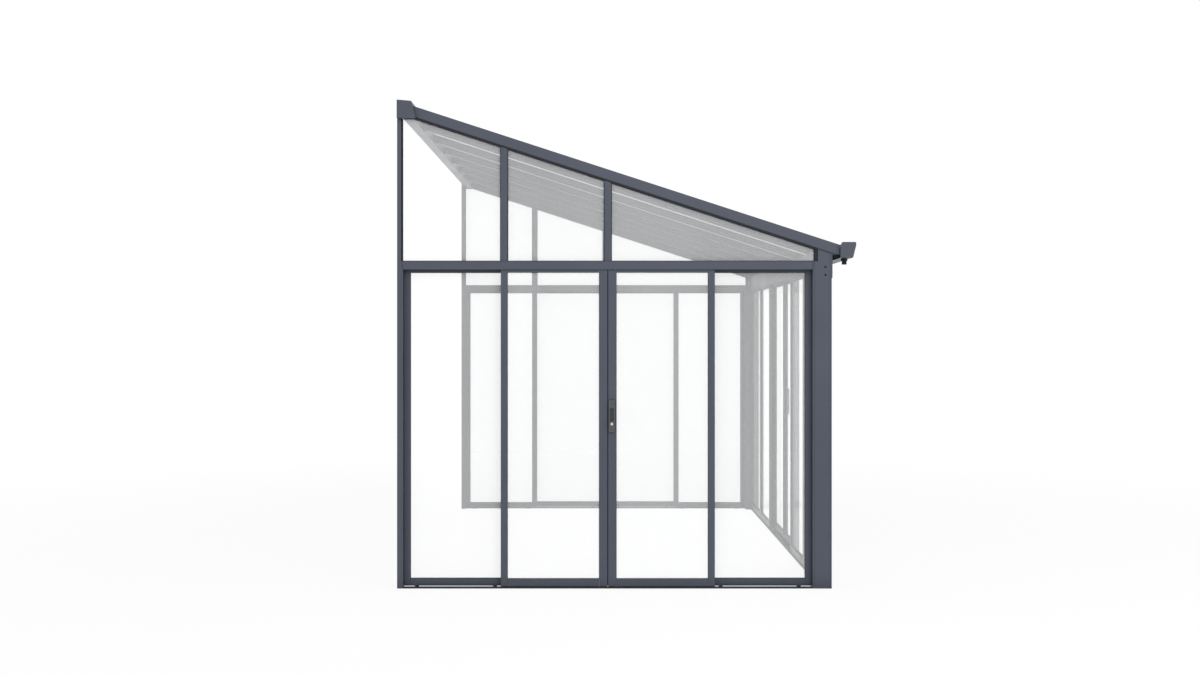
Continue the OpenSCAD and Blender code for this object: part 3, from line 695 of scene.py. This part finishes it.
def opening_ring(low, high, bite, face, profile):
    """Gasket round a pane's opening, on one face of the pane.

    The pane's box shrinks by bite to the opening. The ring's plane is across the box's thinnest
    side, and face is 1 for its far face and -1 for its near one.
    """
    thin = int(np.argmin(high - low))
    outward = np.eye(3)[thin] * face
    right = np.cross(Z, outward)
    middle = (low + high) / 2 + outward * (high - low)[thin] / 2
    reach = abs(right @ (high - low)) / 2 - bite
    rise = (high - low)[2] / 2 - bite
    corners = [middle + right * reach * side + Z * rise * level
               for side, level in ((-1, -1), (1, -1), (1, 1), (-1, 1))]
    return mitred_ring(corners, outward, profile)


class PATIO_OT_glazing_gaskets(bpy.types.Operator):
    """Run a rubber gasket round both faces of every wall pane"""
    bl_idname = "patio.glazing_gaskets"
    bl_label = "Glazing Gaskets"

    def execute(self, context):
        trim = context.scene.patio_trim
        profile = bead_profile(trim.gasket_width, trim.gasket_height)
        panes = {"fixed_panes": "frame"}
        panes.update({name + "_leaf_pane": name + "_leaf" for name in LEAF_NAMES})
        for node, body in panes.items():
            boxes = [(solid.min(axis=0), solid.max(axis=0)) for solid in node_solids(node)]
            rings = [opening_ring(low, high, trim.pane_bite, face, profile)
                     for low, high in boxes for face in (-1, 1)]
            piece(node + "_gaskets", joined(rings), body, "black_rubber")
        return {"FINISHED"}


# Gable glazing

GABLE_END_REACH = 0.001  # an upright edge this close to a gable's end isn't held in a mullion


def roof_plane():
    """First X of the rafters, their top height there, and the roof's slope."""
    points = node_points("side_rafters")
    first, last = points[:, 0].min(), points[:, 0].max()
    tops = [points[np.abs(points[:, 0] - end) < SAME, 2].max() for end in (first, last)]
    return first, tops[0], (tops[0] - tops[1]) / (last - first)


def roof_height(x, over):
    """Height of the roof at x, over metres square to the slope above the rafter tops."""
    first, top, slope = roof_plane()
    return top - slope * (np.asarray(x) - first) + over * math.hypot(1, slope)


def pane_outline(points, outward):
    """Corners of an upright pane's outline, in order round its middle as seen from outside."""
    right = np.cross(Z, outward)
    flat = np.unique(np.round(np.stack([points @ right, points[:, 2]], axis=1), 5), axis=0)
    middle = flat.mean(axis=0)
    order = np.argsort(np.arctan2(flat[:, 1] - middle[1], flat[:, 0] - middle[0]))
    face = (points @ outward).max()
    return flat[order, :1] * right + flat[order, 1:] * Z + face * outward


def drawn_in(corners, outward, depths):
    """Outline whose edges are moved inward, each by its own depth.

    With unit normals m and n of the edges before and after a corner, and c their product, the
    corner moves by (p (m - c n) + q (n - c m)) / (1 - c c) for the depths p and q.
    """
    along = np.roll(corners, -1, axis=0) - corners
    normal = np.cross(outward, along / np.linalg.norm(along, axis=1, keepdims=True))
    before = np.roll(normal, 1, axis=0)
    share = np.sum(normal * before, axis=1, keepdims=True)
    depth = np.asarray(depths)[:, None]
    move = (np.roll(depth, 1, axis=0) * (before - share * normal)
            + depth * (normal - share * before))
    return corners + move / (1 - share ** 2)


def gable_bites(corners, ends, trim):
    """How deep each edge of a gable pane is held: rafter for a slope, mullion, or not at all."""
    along = np.roll(corners, -1, axis=0) - corners
    upright = np.abs(along[:, 0]) < SAME
    level = np.abs(along[:, 2]) < SAME
    at_end = np.min(np.abs(corners[:, :1] - np.asarray(ends)[None, :]), axis=1) < GABLE_END_REACH
    return np.where(level, 0.0, np.where(~upright, trim.rafter_bite,
                                         np.where(at_end, 0.0, trim.mullion_bite)))


class PATIO_OT_gable_gaskets(bpy.types.Operator):
    """Run a rubber gasket round both faces of every gable pane"""
    bl_idname = "patio.gable_gaskets"
    bl_label = "Gable Gaskets"

    def execute(self, context):
        trim = context.scene.patio_trim
        profile = bead_profile(trim.gable_gasket, trim.gasket_height)
        panes = node_solids("gable_panes")
        every = np.concatenate(panes)
        ends = (every[:, 0].min(), every[:, 0].max())
        rings = []
        for pane in panes:
            for outward in (-Y, Y):
                corners = pane_outline(pane, outward)
                opening = drawn_in(corners, outward, gable_bites(corners, ends, trim))
                rings.append(mitred_ring(opening, outward, profile))
        piece("gable_gaskets", joined(rings), "frame", "black_rubber")
        return {"FINISHED"}


# Roof trim

STRIP_START = 0.004  # drip strip below the rafters' upper end
# The closure foam is a black strip whose black paints the shade of the gap between eave beam and
# gutter.
FOAM_CLEAR = 0.0006  # closure foam to its neighbours
FOAM_INSET = 0.002  # closure foam in from the wall's outside and over the gutter's underside
FOAM_CORNER = 0.0015
PROFILE_CLEAR = 0.0001  # end profile to its sheet
PROFILE_END = 0.001  # end profile to the side rafters
CAP_GASKET_HEIGHT = 0.0012
CAP_GASKET_CORNER = 0.0003
CAP_GASKET_DROP = 0.00065  # middle of a cap gasket under its cap
CAP_GASKET_EDGE = 0.001  # cap gasket in from the cap's edge
CAP_GASKET_END = 0.003  # cap gasket short of the cap's ends
CAP_SCREW_END = 0.06  # first and last screw from the cap's ends
CAP_SCREW_DOME = 0.55  # height of a cap screw's head over its radius


def soft_box(width, height, bevel):
    """Rectangle about its middle with cut corners, as eight points counter-clockwise."""
    a, b = width / 2, height / 2
    return np.array([(a, -b + bevel), (a, b - bevel), (a - bevel, b), (-a + bevel, b),
                     (-a, b - bevel), (-a, -b + bevel), (-a + bevel, -b), (a - bevel, -b)])


def roof_normal():
    """Unit vector square to the roof: the slope along X and one along Z, over their length."""
    slope = roof_plane()[2]
    return np.array([slope, 0, 1]) / math.hypot(1, slope)


def roof_bar(profile, x0, x1, y, over):
    """Closed profile, across in Y and up square to the roof, drawn down the slope at y."""
    ends = [np.array([x, y, roof_height(x, over)]) for x in (x0, x1)]
    return drawn_out(profile, *ends, Y, roof_normal())


class PATIO_OT_drip_strips(bpy.types.Operator):
    """Set a dark rubber strip into the lower edge of each side rafter"""
    bl_idname = "patio.drip_strips"
    bl_label = "Drip Strips"

    def execute(self, context):
        trim = context.scene.patio_trim
        start = roof_plane()[0] + STRIP_START
        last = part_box("gable_seals")[1][0]
        middle = trim.lip_bottom + trim.strip_height / 2
        profile = soft_box(trim.strip_depth, trim.strip_height, RUBBER_CORNER)
        bars = [roof_bar(profile, start, last, side * (WALL_FACE + trim.strip_middle), middle)
                for side in (-1, 1)]
        piece("rafter_drip_strips", joined(bars), "frame", "black_rubber")
        return {"FINISHED"}


class PATIO_OT_eave_gap_shade(bpy.types.Operator):
    """Close the gap between the eave beam and the gutter with a black foam strip, whose black
    paints the shade of that gap
    """
    bl_idname = "patio.eave_closure"
    bl_label = "Eave Closure"

    def execute(self, context):
        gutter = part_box("gutter")
        plates = node_points("post_head_brackets")
        rafters = node_points("side_rafters")
        plate_front = plates[:, 0].max()
        plate_in = np.abs(plates[:, 1]).min() - FOAM_CLEAR
        wall_end = -WALL_FACE - FOAM_INSET
        back = gutter[0][0] - FOAM_CLEAR
        low = gutter[0][2] + FOAM_INSET
        high = rafters[rafters[:, 0] > plate_front, 2].min() - FOAM_CLEAR
        parts = []
        for y0, y1, front in ((-plate_in, plate_in, plates[:, 0].min()),
                              (-wall_end, -plate_in, plate_front + FOAM_CLEAR),
                              (plate_in, wall_end, plate_front + FOAM_CLEAR)):
            section = soft_box(back - front, high - low, FOAM_CORNER)
            middle = X * (front + back) / 2 + Z * (low + high) / 2
            parts.append(drawn_out(section, middle + Y * y0, middle + Y * y1, X, Z))
        # Painted shade: the black foam stands in for the shade in the gap under the eave.
        piece("eave_closure", joined(parts), "frame", "black_plastic", look="gap_shade_foam")
        return {"FINISHED"}


class PATIO_OT_roof_trim(bpy.types.Operator):
    """Finish the roof sheets with end profiles, cap gaskets and cap screws"""
    bl_idname = "patio.roof_trim"
    bl_label = "Roof Trim"

    def end_profiles(self, trim):
        """Channel over each sheet's lower end: a C section drawn across between the caps."""
        wall, leg, slack = trim.end_profile_wall, trim.end_profile_leg, PROFILE_CLEAR
        free = np.abs(node_points("side_rafters")[:, 1]).min() - PROFILE_END
        slope = roof_plane()[2]
        bars = []
        for sheet in node_solids("roof_panels"):
            end = sheet[:, 0].max()
            tail = sheet[np.abs(sheet[:, 0] - end) < SAME, 2]
            low, high = tail.min(), tail.max()
            section = np.array([
                (-leg, high + wall + slope * leg), (wall, high + wall - slope * wall),
                (wall, low - wall - slope * wall), (-leg, low - wall + slope * leg),
                (-leg, low - slack + slope * leg), (slack, low - slack - slope * slack),
                (slack, high + slack - slope * slack), (-leg, high + slack + slope * leg)])
            y0 = max(sheet[:, 1].min() + trim.cap_clear, -free)
            y1 = min(sheet[:, 1].max() - trim.cap_clear, free)
            bars.append(drawn_out(section, X * end + Y * y0, X * end + Y * y1, X, Z))
        return joined(bars)

    def execute(self, context):
        trim = context.scene.patio_trim
        caps = node_solids("rafter_caps")
        first, _, slope = roof_plane()
        end = max(cap[:, 0].max() for cap in caps)
        normal = roof_normal()
        section = soft_box(trim.cap_gasket, CAP_GASKET_HEIGHT, CAP_GASKET_CORNER)
        head = dome_head(trim.cap_screw, trim.cap_screw * CAP_SCREW_DOME)
        screws_x = np.linspace(first + CAP_SCREW_END, end - CAP_SCREW_END, trim.cap_screw_count)
        strips, heads = [], []
        for cap in caps:
            middle = (cap[:, 1].min() + cap[:, 1].max()) / 2
            half = (cap[:, 1].max() - cap[:, 1].min()) / 2
            aside = half - trim.cap_gasket / 2 - CAP_GASKET_EDGE
            overs = (cap[:, 2] - roof_height(cap[:, 0], 0)) / math.hypot(1, slope)
            strips += [roof_bar(section, first + CAP_GASKET_END, end - CAP_GASKET_END,
                                middle + side * aside, overs.min() - CAP_GASKET_DROP)
                       for side in (-1, 1)]
            heads += [turned(head, (x, middle, roof_height(x, overs.max())), normal, steps=16)
                      for x in screws_x]
        piece("sheet_end_profiles", self.end_profiles(trim), "frame", "frame_paint")
        piece("cap_gaskets", joined(strips), "frame", "black_rubber")
        piece("cap_screws", joined(heads), "frame", "handle_grey", look="bright_steel")
        return {"FINISHED"}


# Post heads

SOCKET_RADIUS = 0.36  # floor of a screw head's socket over the head's radius
SOCKET_RIM = 0.42  # rim of that socket over the head's radius
SOCKET_FLOOR = 0.45  # height of that floor over the head's height
POST_SCREW_DOME = 0.4  # height of a post screw's head over its radius
PLATE_SCREWS_ACROSS = (0.2, 0.8)  # places of a plate's screws over its width
PLATE_SCREWS_UP = (0.25, 0.75)  # and over its height


def dome_head(radius, height):
    """Half section of a domed screw head with a round socket, from the socket out and closed.

    The dome is a quarter of an ellipse from the socket's rim, at full height, to the radius.
    """
    turn = np.linspace(math.pi / 2, 0, 5)[1:, None]
    dome = np.concatenate([radius * (SOCKET_RIM + (1 - SOCKET_RIM) * np.cos(turn)),
                           height * np.sin(turn)], axis=1)
    return np.array([(0, height * SOCKET_FLOOR), (radius * SOCKET_RADIUS, height * SOCKET_FLOOR),
                     (radius * SOCKET_RIM, height), *dome, (0, 0)])


class PATIO_OT_post_screws(bpy.types.Operator):
    """Drive the dark screws into the post sides and the plates at the post heads"""
    bl_idname = "patio.post_screws"
    bl_label = "Post Screws"

    def execute(self, context):
        trim = context.scene.patio_trim
        head = dome_head(trim.screw_radius, trim.screw_radius * POST_SCREW_DOME)
        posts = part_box("front_posts")
        heads = [turned(head, (posts[1][0] - trim.post_screw_in, side * posts[1][1], z), Y * side)
                 for side in (-1, 1) for z in (trim.post_screw_low, trim.post_screw_high)]
        for plate in node_solids("post_head_brackets"):
            low, high = plate.min(axis=0), plate.max(axis=0)
            heads += [turned(head, (high[0], low[1] + (high[1] - low[1]) * share,
                                    low[2] + (high[2] - low[2]) * rise), X)
                      for share in PLATE_SCREWS_ACROSS for rise in PLATE_SCREWS_UP]
        piece("post_screws", joined(heads), "frame", "black_plastic")
        return {"FINISHED"}


# Doors

BRUSH_BACK = 0.0142  # foot of a brush behind the outside of its pane
CARRIER_WIDTH = 1.5  # width of a brush's carrier over that of its pile
CARRIER_DEPTH = 0.004
CARRIER_CORNER = 0.0006
PILE_CORNER = 0.0012
FIN_SHIFT = 0.00005  # meeting fin off the gap's middle, towards its own leaf
FIN_FOOT = 0.0003  # meeting fin over its leaf's lower end
FIN_HEAD = 0.001  # meeting fin under its leaf's upper end
KEYWAY = (0.0014, 0.0075, 0.0003)  # width, height and corner of the dark keyway
KEYWAY_SPAN = (0.0010, 0.0015)  # its back and front before the lock's foot
LINER_CORNER = 0.0035
LINER_SPAN = (0.0002, 0.0014)  # back and front of a liner before the recess floor
HANDLE_SCREW = (0.0032, 0.0010)  # radius and height of a handle screw's head
LOCK_STEPS = 40


def leaf_ways(name):
    """Directions of a leaf's wall: outward from the room's middle along it, and inward."""
    wall, side = name.split("_")[:2]
    if wall == "front":
        return (-Y if side == "left" else Y), -X
    return (X if side == "front" else -X), (Y if wall == "left" else -Y)


def box_corner(box, *ways):
    """The corner of a box that lies furthest back along every one of the ways."""
    low, high = (np.array(corner) for corner in box)
    back = -sum(ways)
    return np.where(back > 0, high, low)


class PATIO_OT_interlock_brushes(bpy.types.Operator):
    """Set an upright pile brush behind the outer stile of every leaf, against the fixed panels"""
    bl_idname = "patio.interlock_brushes"
    bl_label = "Interlock Brushes"

    def execute(self, context):
        trim = context.scene.patio_trim
        for name in LEAF_NAMES:
            along, inward = leaf_ways(name)
            outer = box_corner(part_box(name + "_leaf_pane"), -along, inward, Z)
            back = outer + along * trim.brush_in + inward * BRUSH_BACK
            foot, head = Z * (trim.brush_low - back[2]), Z * (trim.brush_high - back[2])
            parts = []
            for width, depth, corner in (
                    (trim.brush_width * CARRIER_WIDTH, CARRIER_DEPTH, CARRIER_CORNER),
                    (trim.brush_width, trim.brush_depth, PILE_CORNER)):
                middle = back + inward * depth / 2
                parts.append(drawn_out(soft_box(width, depth, corner), middle + foot,
                                       middle + head, along, inward))
            piece(name + "_leaf_brush", joined(parts), name + "_leaf", "black_rubber")
        return {"FINISHED"}


class PATIO_OT_meeting_seals(bpy.types.Operator):
    """Set a full-height rubber fin on one leaf of every pair, in the gap where the two meet"""
    bl_idname = "patio.meeting_seals"
    bl_label = "Meeting Seals"

    def execute(self, context):
        trim = context.scene.patio_trim
        profile = soft_box(trim.meeting_seal_width, trim.meeting_seal_depth, RUBBER_CORNER)
        for name, other in MEETING_LEAVES.items():
            along, inward = leaf_ways(name)
            panes = np.array([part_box(leaf + "_leaf_pane") for leaf in (name, other)])
            low, high = (corner[2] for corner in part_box(name + "_leaf_frame"))
            middle = panes.mean(axis=(0, 1)) + inward * trim.meeting_seal_in + along * FIN_SHIFT
            fin = drawn_out(profile, middle + Z * (low + FIN_FOOT - middle[2]),
                            middle + Z * (high - FIN_HEAD - middle[2]), along, inward)
            piece(name + "_leaf_meeting_seal", fin, name + "_leaf", "black_rubber")
        return {"FINISHED"}


def lock_face(radius):
    """Half section of a lock face: a flat disc whose rim falls in two slopes to the handle."""
    return np.array([(0, 0.0012), (radius * 0.85, 0.0012), (radius * 0.96, 0.0008), (radius, 0),
                     (0, 0)])


def lock_ring(radius):
    """Half section of the ring round a lock face: a low bead that starts 0.5 mm outside it."""
    return np.array([(0.0005, 0), (0.0005, 0.0012), (0.0014, 0.0017), (0.0026, 0.0011),
                     (0.0028, 0), (0.0005, 0)]) + (radius, 0)


class PATIO_OT_door_locks(bpy.types.Operator):
    """Fit each door handle with its lock face, keyway, recess liner and screws"""
    bl_idname = "patio.door_locks"
    bl_label = "Door Locks"

    def execute(self, context):
        trim = context.scene.patio_trim
        face, ring = lock_face(trim.lock_radius), lock_ring(trim.lock_radius)
        head = dome_head(*HANDLE_SCREW)
        for handle, leaf in HANDLED_LEAVES.items():
            along, inward = leaf_ways(leaf)
            corner = box_corner(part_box(handle), along, inward, Z)
            middle = corner + along * trim.handle_middle
            plate = middle + inward * trim.barrel_out
            lock = middle + Z * trim.lock_rise
            keyway = drawn_out(soft_box(*KEYWAY), *[lock - inward * out for out in KEYWAY_SPAN],
                               along, Z)
            # Painted shade: the darker liner stands in for the shade in the finger recess.
            floor = plate + Z * trim.recess_rise + inward * trim.recess_depth
            liner = drawn_out(soft_box(trim.recess_width, trim.recess_height, LINER_CORNER),
                              *[floor - inward * out for out in LINER_SPAN], along, Z)
            collar = turned(ring, plate + Z * trim.lock_rise, -inward, LOCK_STEPS)
            screws = [turned(head, plate + Z * rise, -inward, steps=20)
                      for rise in (trim.handle_screw_low, trim.handle_screw_high)]
            piece(handle + "_lock", turned(face, lock, -inward, LOCK_STEPS), leaf, "handle_grey",
                  look="bright_steel")
            piece(handle + "_fittings", joined([keyway, collar, *screws]), leaf, "black_plastic")
            piece(handle + "_recess", liner, leaf, "handle_grey", look="recess_shade_grey")
        return {"FINISHED"}


# Stage

FLOOR_HALF = 40.0  # floor to each side of the origin
FLOOR_COLOR = (0.94, 0.94, 0.94)
WHITE_NEAR = 0.86  # share of plain white that the camera sees in the floor at the room
WHITE_REACH = (3.0, 9.0)  # distances between which that share grows to 1
SENSOR_WIDTH = 36.0
KEY_PLACE = (2.5, -8.0, 6.5)
KEY_TARGET = (0.0, 0.0, 1.2)
KEY_SIZE = 6.0


def lit_background(tree, shown, lighting):
    """Shader that looks shown to camera, mirror and glass rays, and is lighting for the rest."""
    path = tree.nodes.new("ShaderNodeLightPath")
    seen = path.outputs["Is Camera Ray"]
    for ray in ("Is Glossy Ray", "Is Transmission Ray"):
        either = tree.nodes.new("ShaderNodeMath")
        either.operation = "MAXIMUM"
        tree.links.new(seen, either.inputs[0])
        tree.links.new(path.outputs[ray], either.inputs[1])
        seen = either.outputs["Value"]
    mix = tree.nodes.new("ShaderNodeMixShader")
    tree.links.new(seen, mix.inputs["Fac"])
    tree.links.new(lighting, mix.inputs[1])
    tree.links.new(shown, mix.inputs[2])
    return mix.outputs["Shader"]


def white_surround(strength):
    """World of even white light that shows as pure white."""
    world = bpy.data.worlds.new("white_surround")
    world.use_nodes = True
    tree = world.node_tree
    lighting = tree.nodes["Background"]
    lighting.inputs["Color"].default_value = WHITE
    lighting.inputs["Strength"].default_value = strength
    shown = tree.nodes.new("ShaderNodeBackground")
    shown.inputs["Color"].default_value = WHITE
    mixed = lit_background(tree, shown.outputs["Background"], lighting.outputs["Background"])
    tree.links.new(mixed, tree.nodes["World Output"].inputs["Surface"])
    bpy.context.scene.world = world


def floor_finish():
    """Pale matte floor that holds the shadow near the room and fades to pure white further out."""
    material, tree, shader = blank_material("studio_floor")
    tint = mottled(tree, grain(tree, per_metre=0.4), FLOOR_COLOR, spread=0.01)
    tree.links.new(tint, shader.inputs["Base Color"])
    shader.inputs["Roughness"].default_value = 0.9
    shader.inputs["Specular IOR Level"].default_value = 0.1
    place = tree.nodes.new("ShaderNodeTexCoord")
    radius = tree.nodes.new("ShaderNodeVectorMath")
    radius.operation = "LENGTH"
    fade = tree.nodes.new("ShaderNodeMapRange")
    fade.interpolation_type = "SMOOTHSTEP"
    fade.inputs["From Min"].default_value, fade.inputs["From Max"].default_value = WHITE_REACH
    fade.inputs["To Min"].default_value = WHITE_NEAR
    white = tree.nodes.new("ShaderNodeEmission")
    mix = tree.nodes.new("ShaderNodeMixShader")
    tree.links.new(place.outputs["Object"], radius.inputs[0])
    tree.links.new(radius.outputs["Value"], fade.inputs["Value"])
    tree.links.new(fade.outputs["Result"], mix.inputs["Fac"])
    tree.links.new(shader.outputs["BSDF"], mix.inputs[1])
    tree.links.new(white.outputs["Emission"], mix.inputs[2])
    seen = lit_background(tree, mix.outputs["Shader"], shader.outputs["BSDF"])
    tree.links.new(seen, tree.nodes["Material Output"].inputs["Surface"])
    return material


def studio_floor(half, steps=40):
    """Level floor: a grid of points at height zero, half wide to each side."""
    line = np.linspace(-half, half, steps)
    points = np.stack([*np.meshgrid(line, line), np.zeros((steps, steps))], axis=-1).reshape(-1, 3)
    mesh = bpy.data.meshes.new("studio_floor")
    mesh.from_pydata(points.tolist(), [], grid_quads(steps, steps, False, False).tolist())
    mesh.shade_smooth()
    floor = bpy.data.objects.new("studio_floor", mesh)
    mesh.materials.append(floor_finish())
    bpy.context.scene.collection.objects.link(floor)


def soft_lamp(name, place, target, size, watts):
    """Large square lamp that points from place to target."""
    lamp = bpy.data.lights.new(name, "AREA")
    lamp.energy = watts
    lamp.size = size
    held = bpy.data.objects.new(name, lamp)
    held.location = place
    held.rotation_euler = (Vector(target) - Vector(place)).to_track_quat("-Z", "Y").to_euler()
    bpy.context.scene.collection.objects.link(held)


class PATIO_OT_studio(bpy.types.Operator):
    """Set the camera, the even light and the pale floor"""
    bl_idname = "patio.studio"
    bl_label = "Studio"

    def execute(self, context):
        stage = context.scene.patio_stage
        house_face = CAD_BOX[0][0]
        context.scene.view_settings.view_transform = "Standard"
        white_surround(stage.sky)
        studio_floor(FLOOR_HALF)
        camera = bpy.data.cameras.new("photo_camera")
        camera.lens = stage.lens
        camera.sensor_width = SENSOR_WIDTH
        held = bpy.data.objects.new("photo_camera", camera)
        held.location = (house_face + stage.camera_offset, WALL_FACE - stage.camera_distance,
                         stage.camera_height)
        held.rotation_euler = (math.radians(90), 0, 0)
        context.scene.collection.objects.link(held)
        context.scene.camera = held
        soft_lamp("key_lamp", KEY_PLACE, KEY_TARGET, KEY_SIZE, stage.key)
        return {"FINISHED"}


# Add-on


class PATIO_PT_room(bpy.types.Panel):
    """Steps and settings of the patio room"""
    bl_idname = "PATIO_PT_room"
    bl_label = "Patio Room"
    bl_space_type = "VIEW_3D"
    bl_region_type = "UI"
    bl_category = "Patio Room"

    def draw(self, context):
        column = self.layout.column(align=True)
        for step in OPERATORS:
            column.operator(step.bl_idname)
        for holder in SETTINGS:
            box = self.layout.box()
            group = getattr(context.scene, holder)
            for name in SETTINGS[holder].__annotations__:
                box.prop(group, name)


SETTINGS = {
    "patio_finish": PatioFinishSettings,
    "patio_trim": PatioTrimSettings,
    "patio_stage": PatioStageSettings,
}
OPERATORS = (
    PATIO_OT_finish_parts,
    PATIO_OT_glazing_gaskets,
    PATIO_OT_gable_gaskets,
    PATIO_OT_drip_strips,
    PATIO_OT_eave_gap_shade,
    PATIO_OT_roof_trim,
    PATIO_OT_post_screws,
    PATIO_OT_interlock_brushes,
    PATIO_OT_meeting_seals,
    PATIO_OT_door_locks,
    PATIO_OT_studio,
)


def register():
    """Add the settings, the operators and the panel."""
    for holder, group in SETTINGS.items():
        bpy.utils.register_class(group)
        setattr(bpy.types.Scene, holder, bpy.props.PointerProperty(type=group))
    for made in (*OPERATORS, PATIO_PT_room):
        bpy.utils.register_class(made)


def unregister():
    """Take the panel, the operators and the settings away again."""
    for made in (PATIO_PT_room, *reversed(OPERATORS)):
        bpy.utils.unregister_class(made)
    for holder, group in SETTINGS.items():
        delattr(bpy.types.Scene, holder)
        bpy.utils.unregister_class(group)


def main():
    """Dress the room step by step."""
    register()
    bpy.ops.patio.finish_parts()
    bpy.ops.patio.glazing_gaskets()
    bpy.ops.patio.gable_gaskets()
    bpy.ops.patio.drip_strips()
    bpy.ops.patio.eave_closure()
    bpy.ops.patio.roof_trim()
    bpy.ops.patio.post_screws()
    bpy.ops.patio.interlock_brushes()
    bpy.ops.patio.meeting_seals()
    bpy.ops.patio.door_locks()
    bpy.ops.patio.studio()


if __name__ == "__main__":
    main()
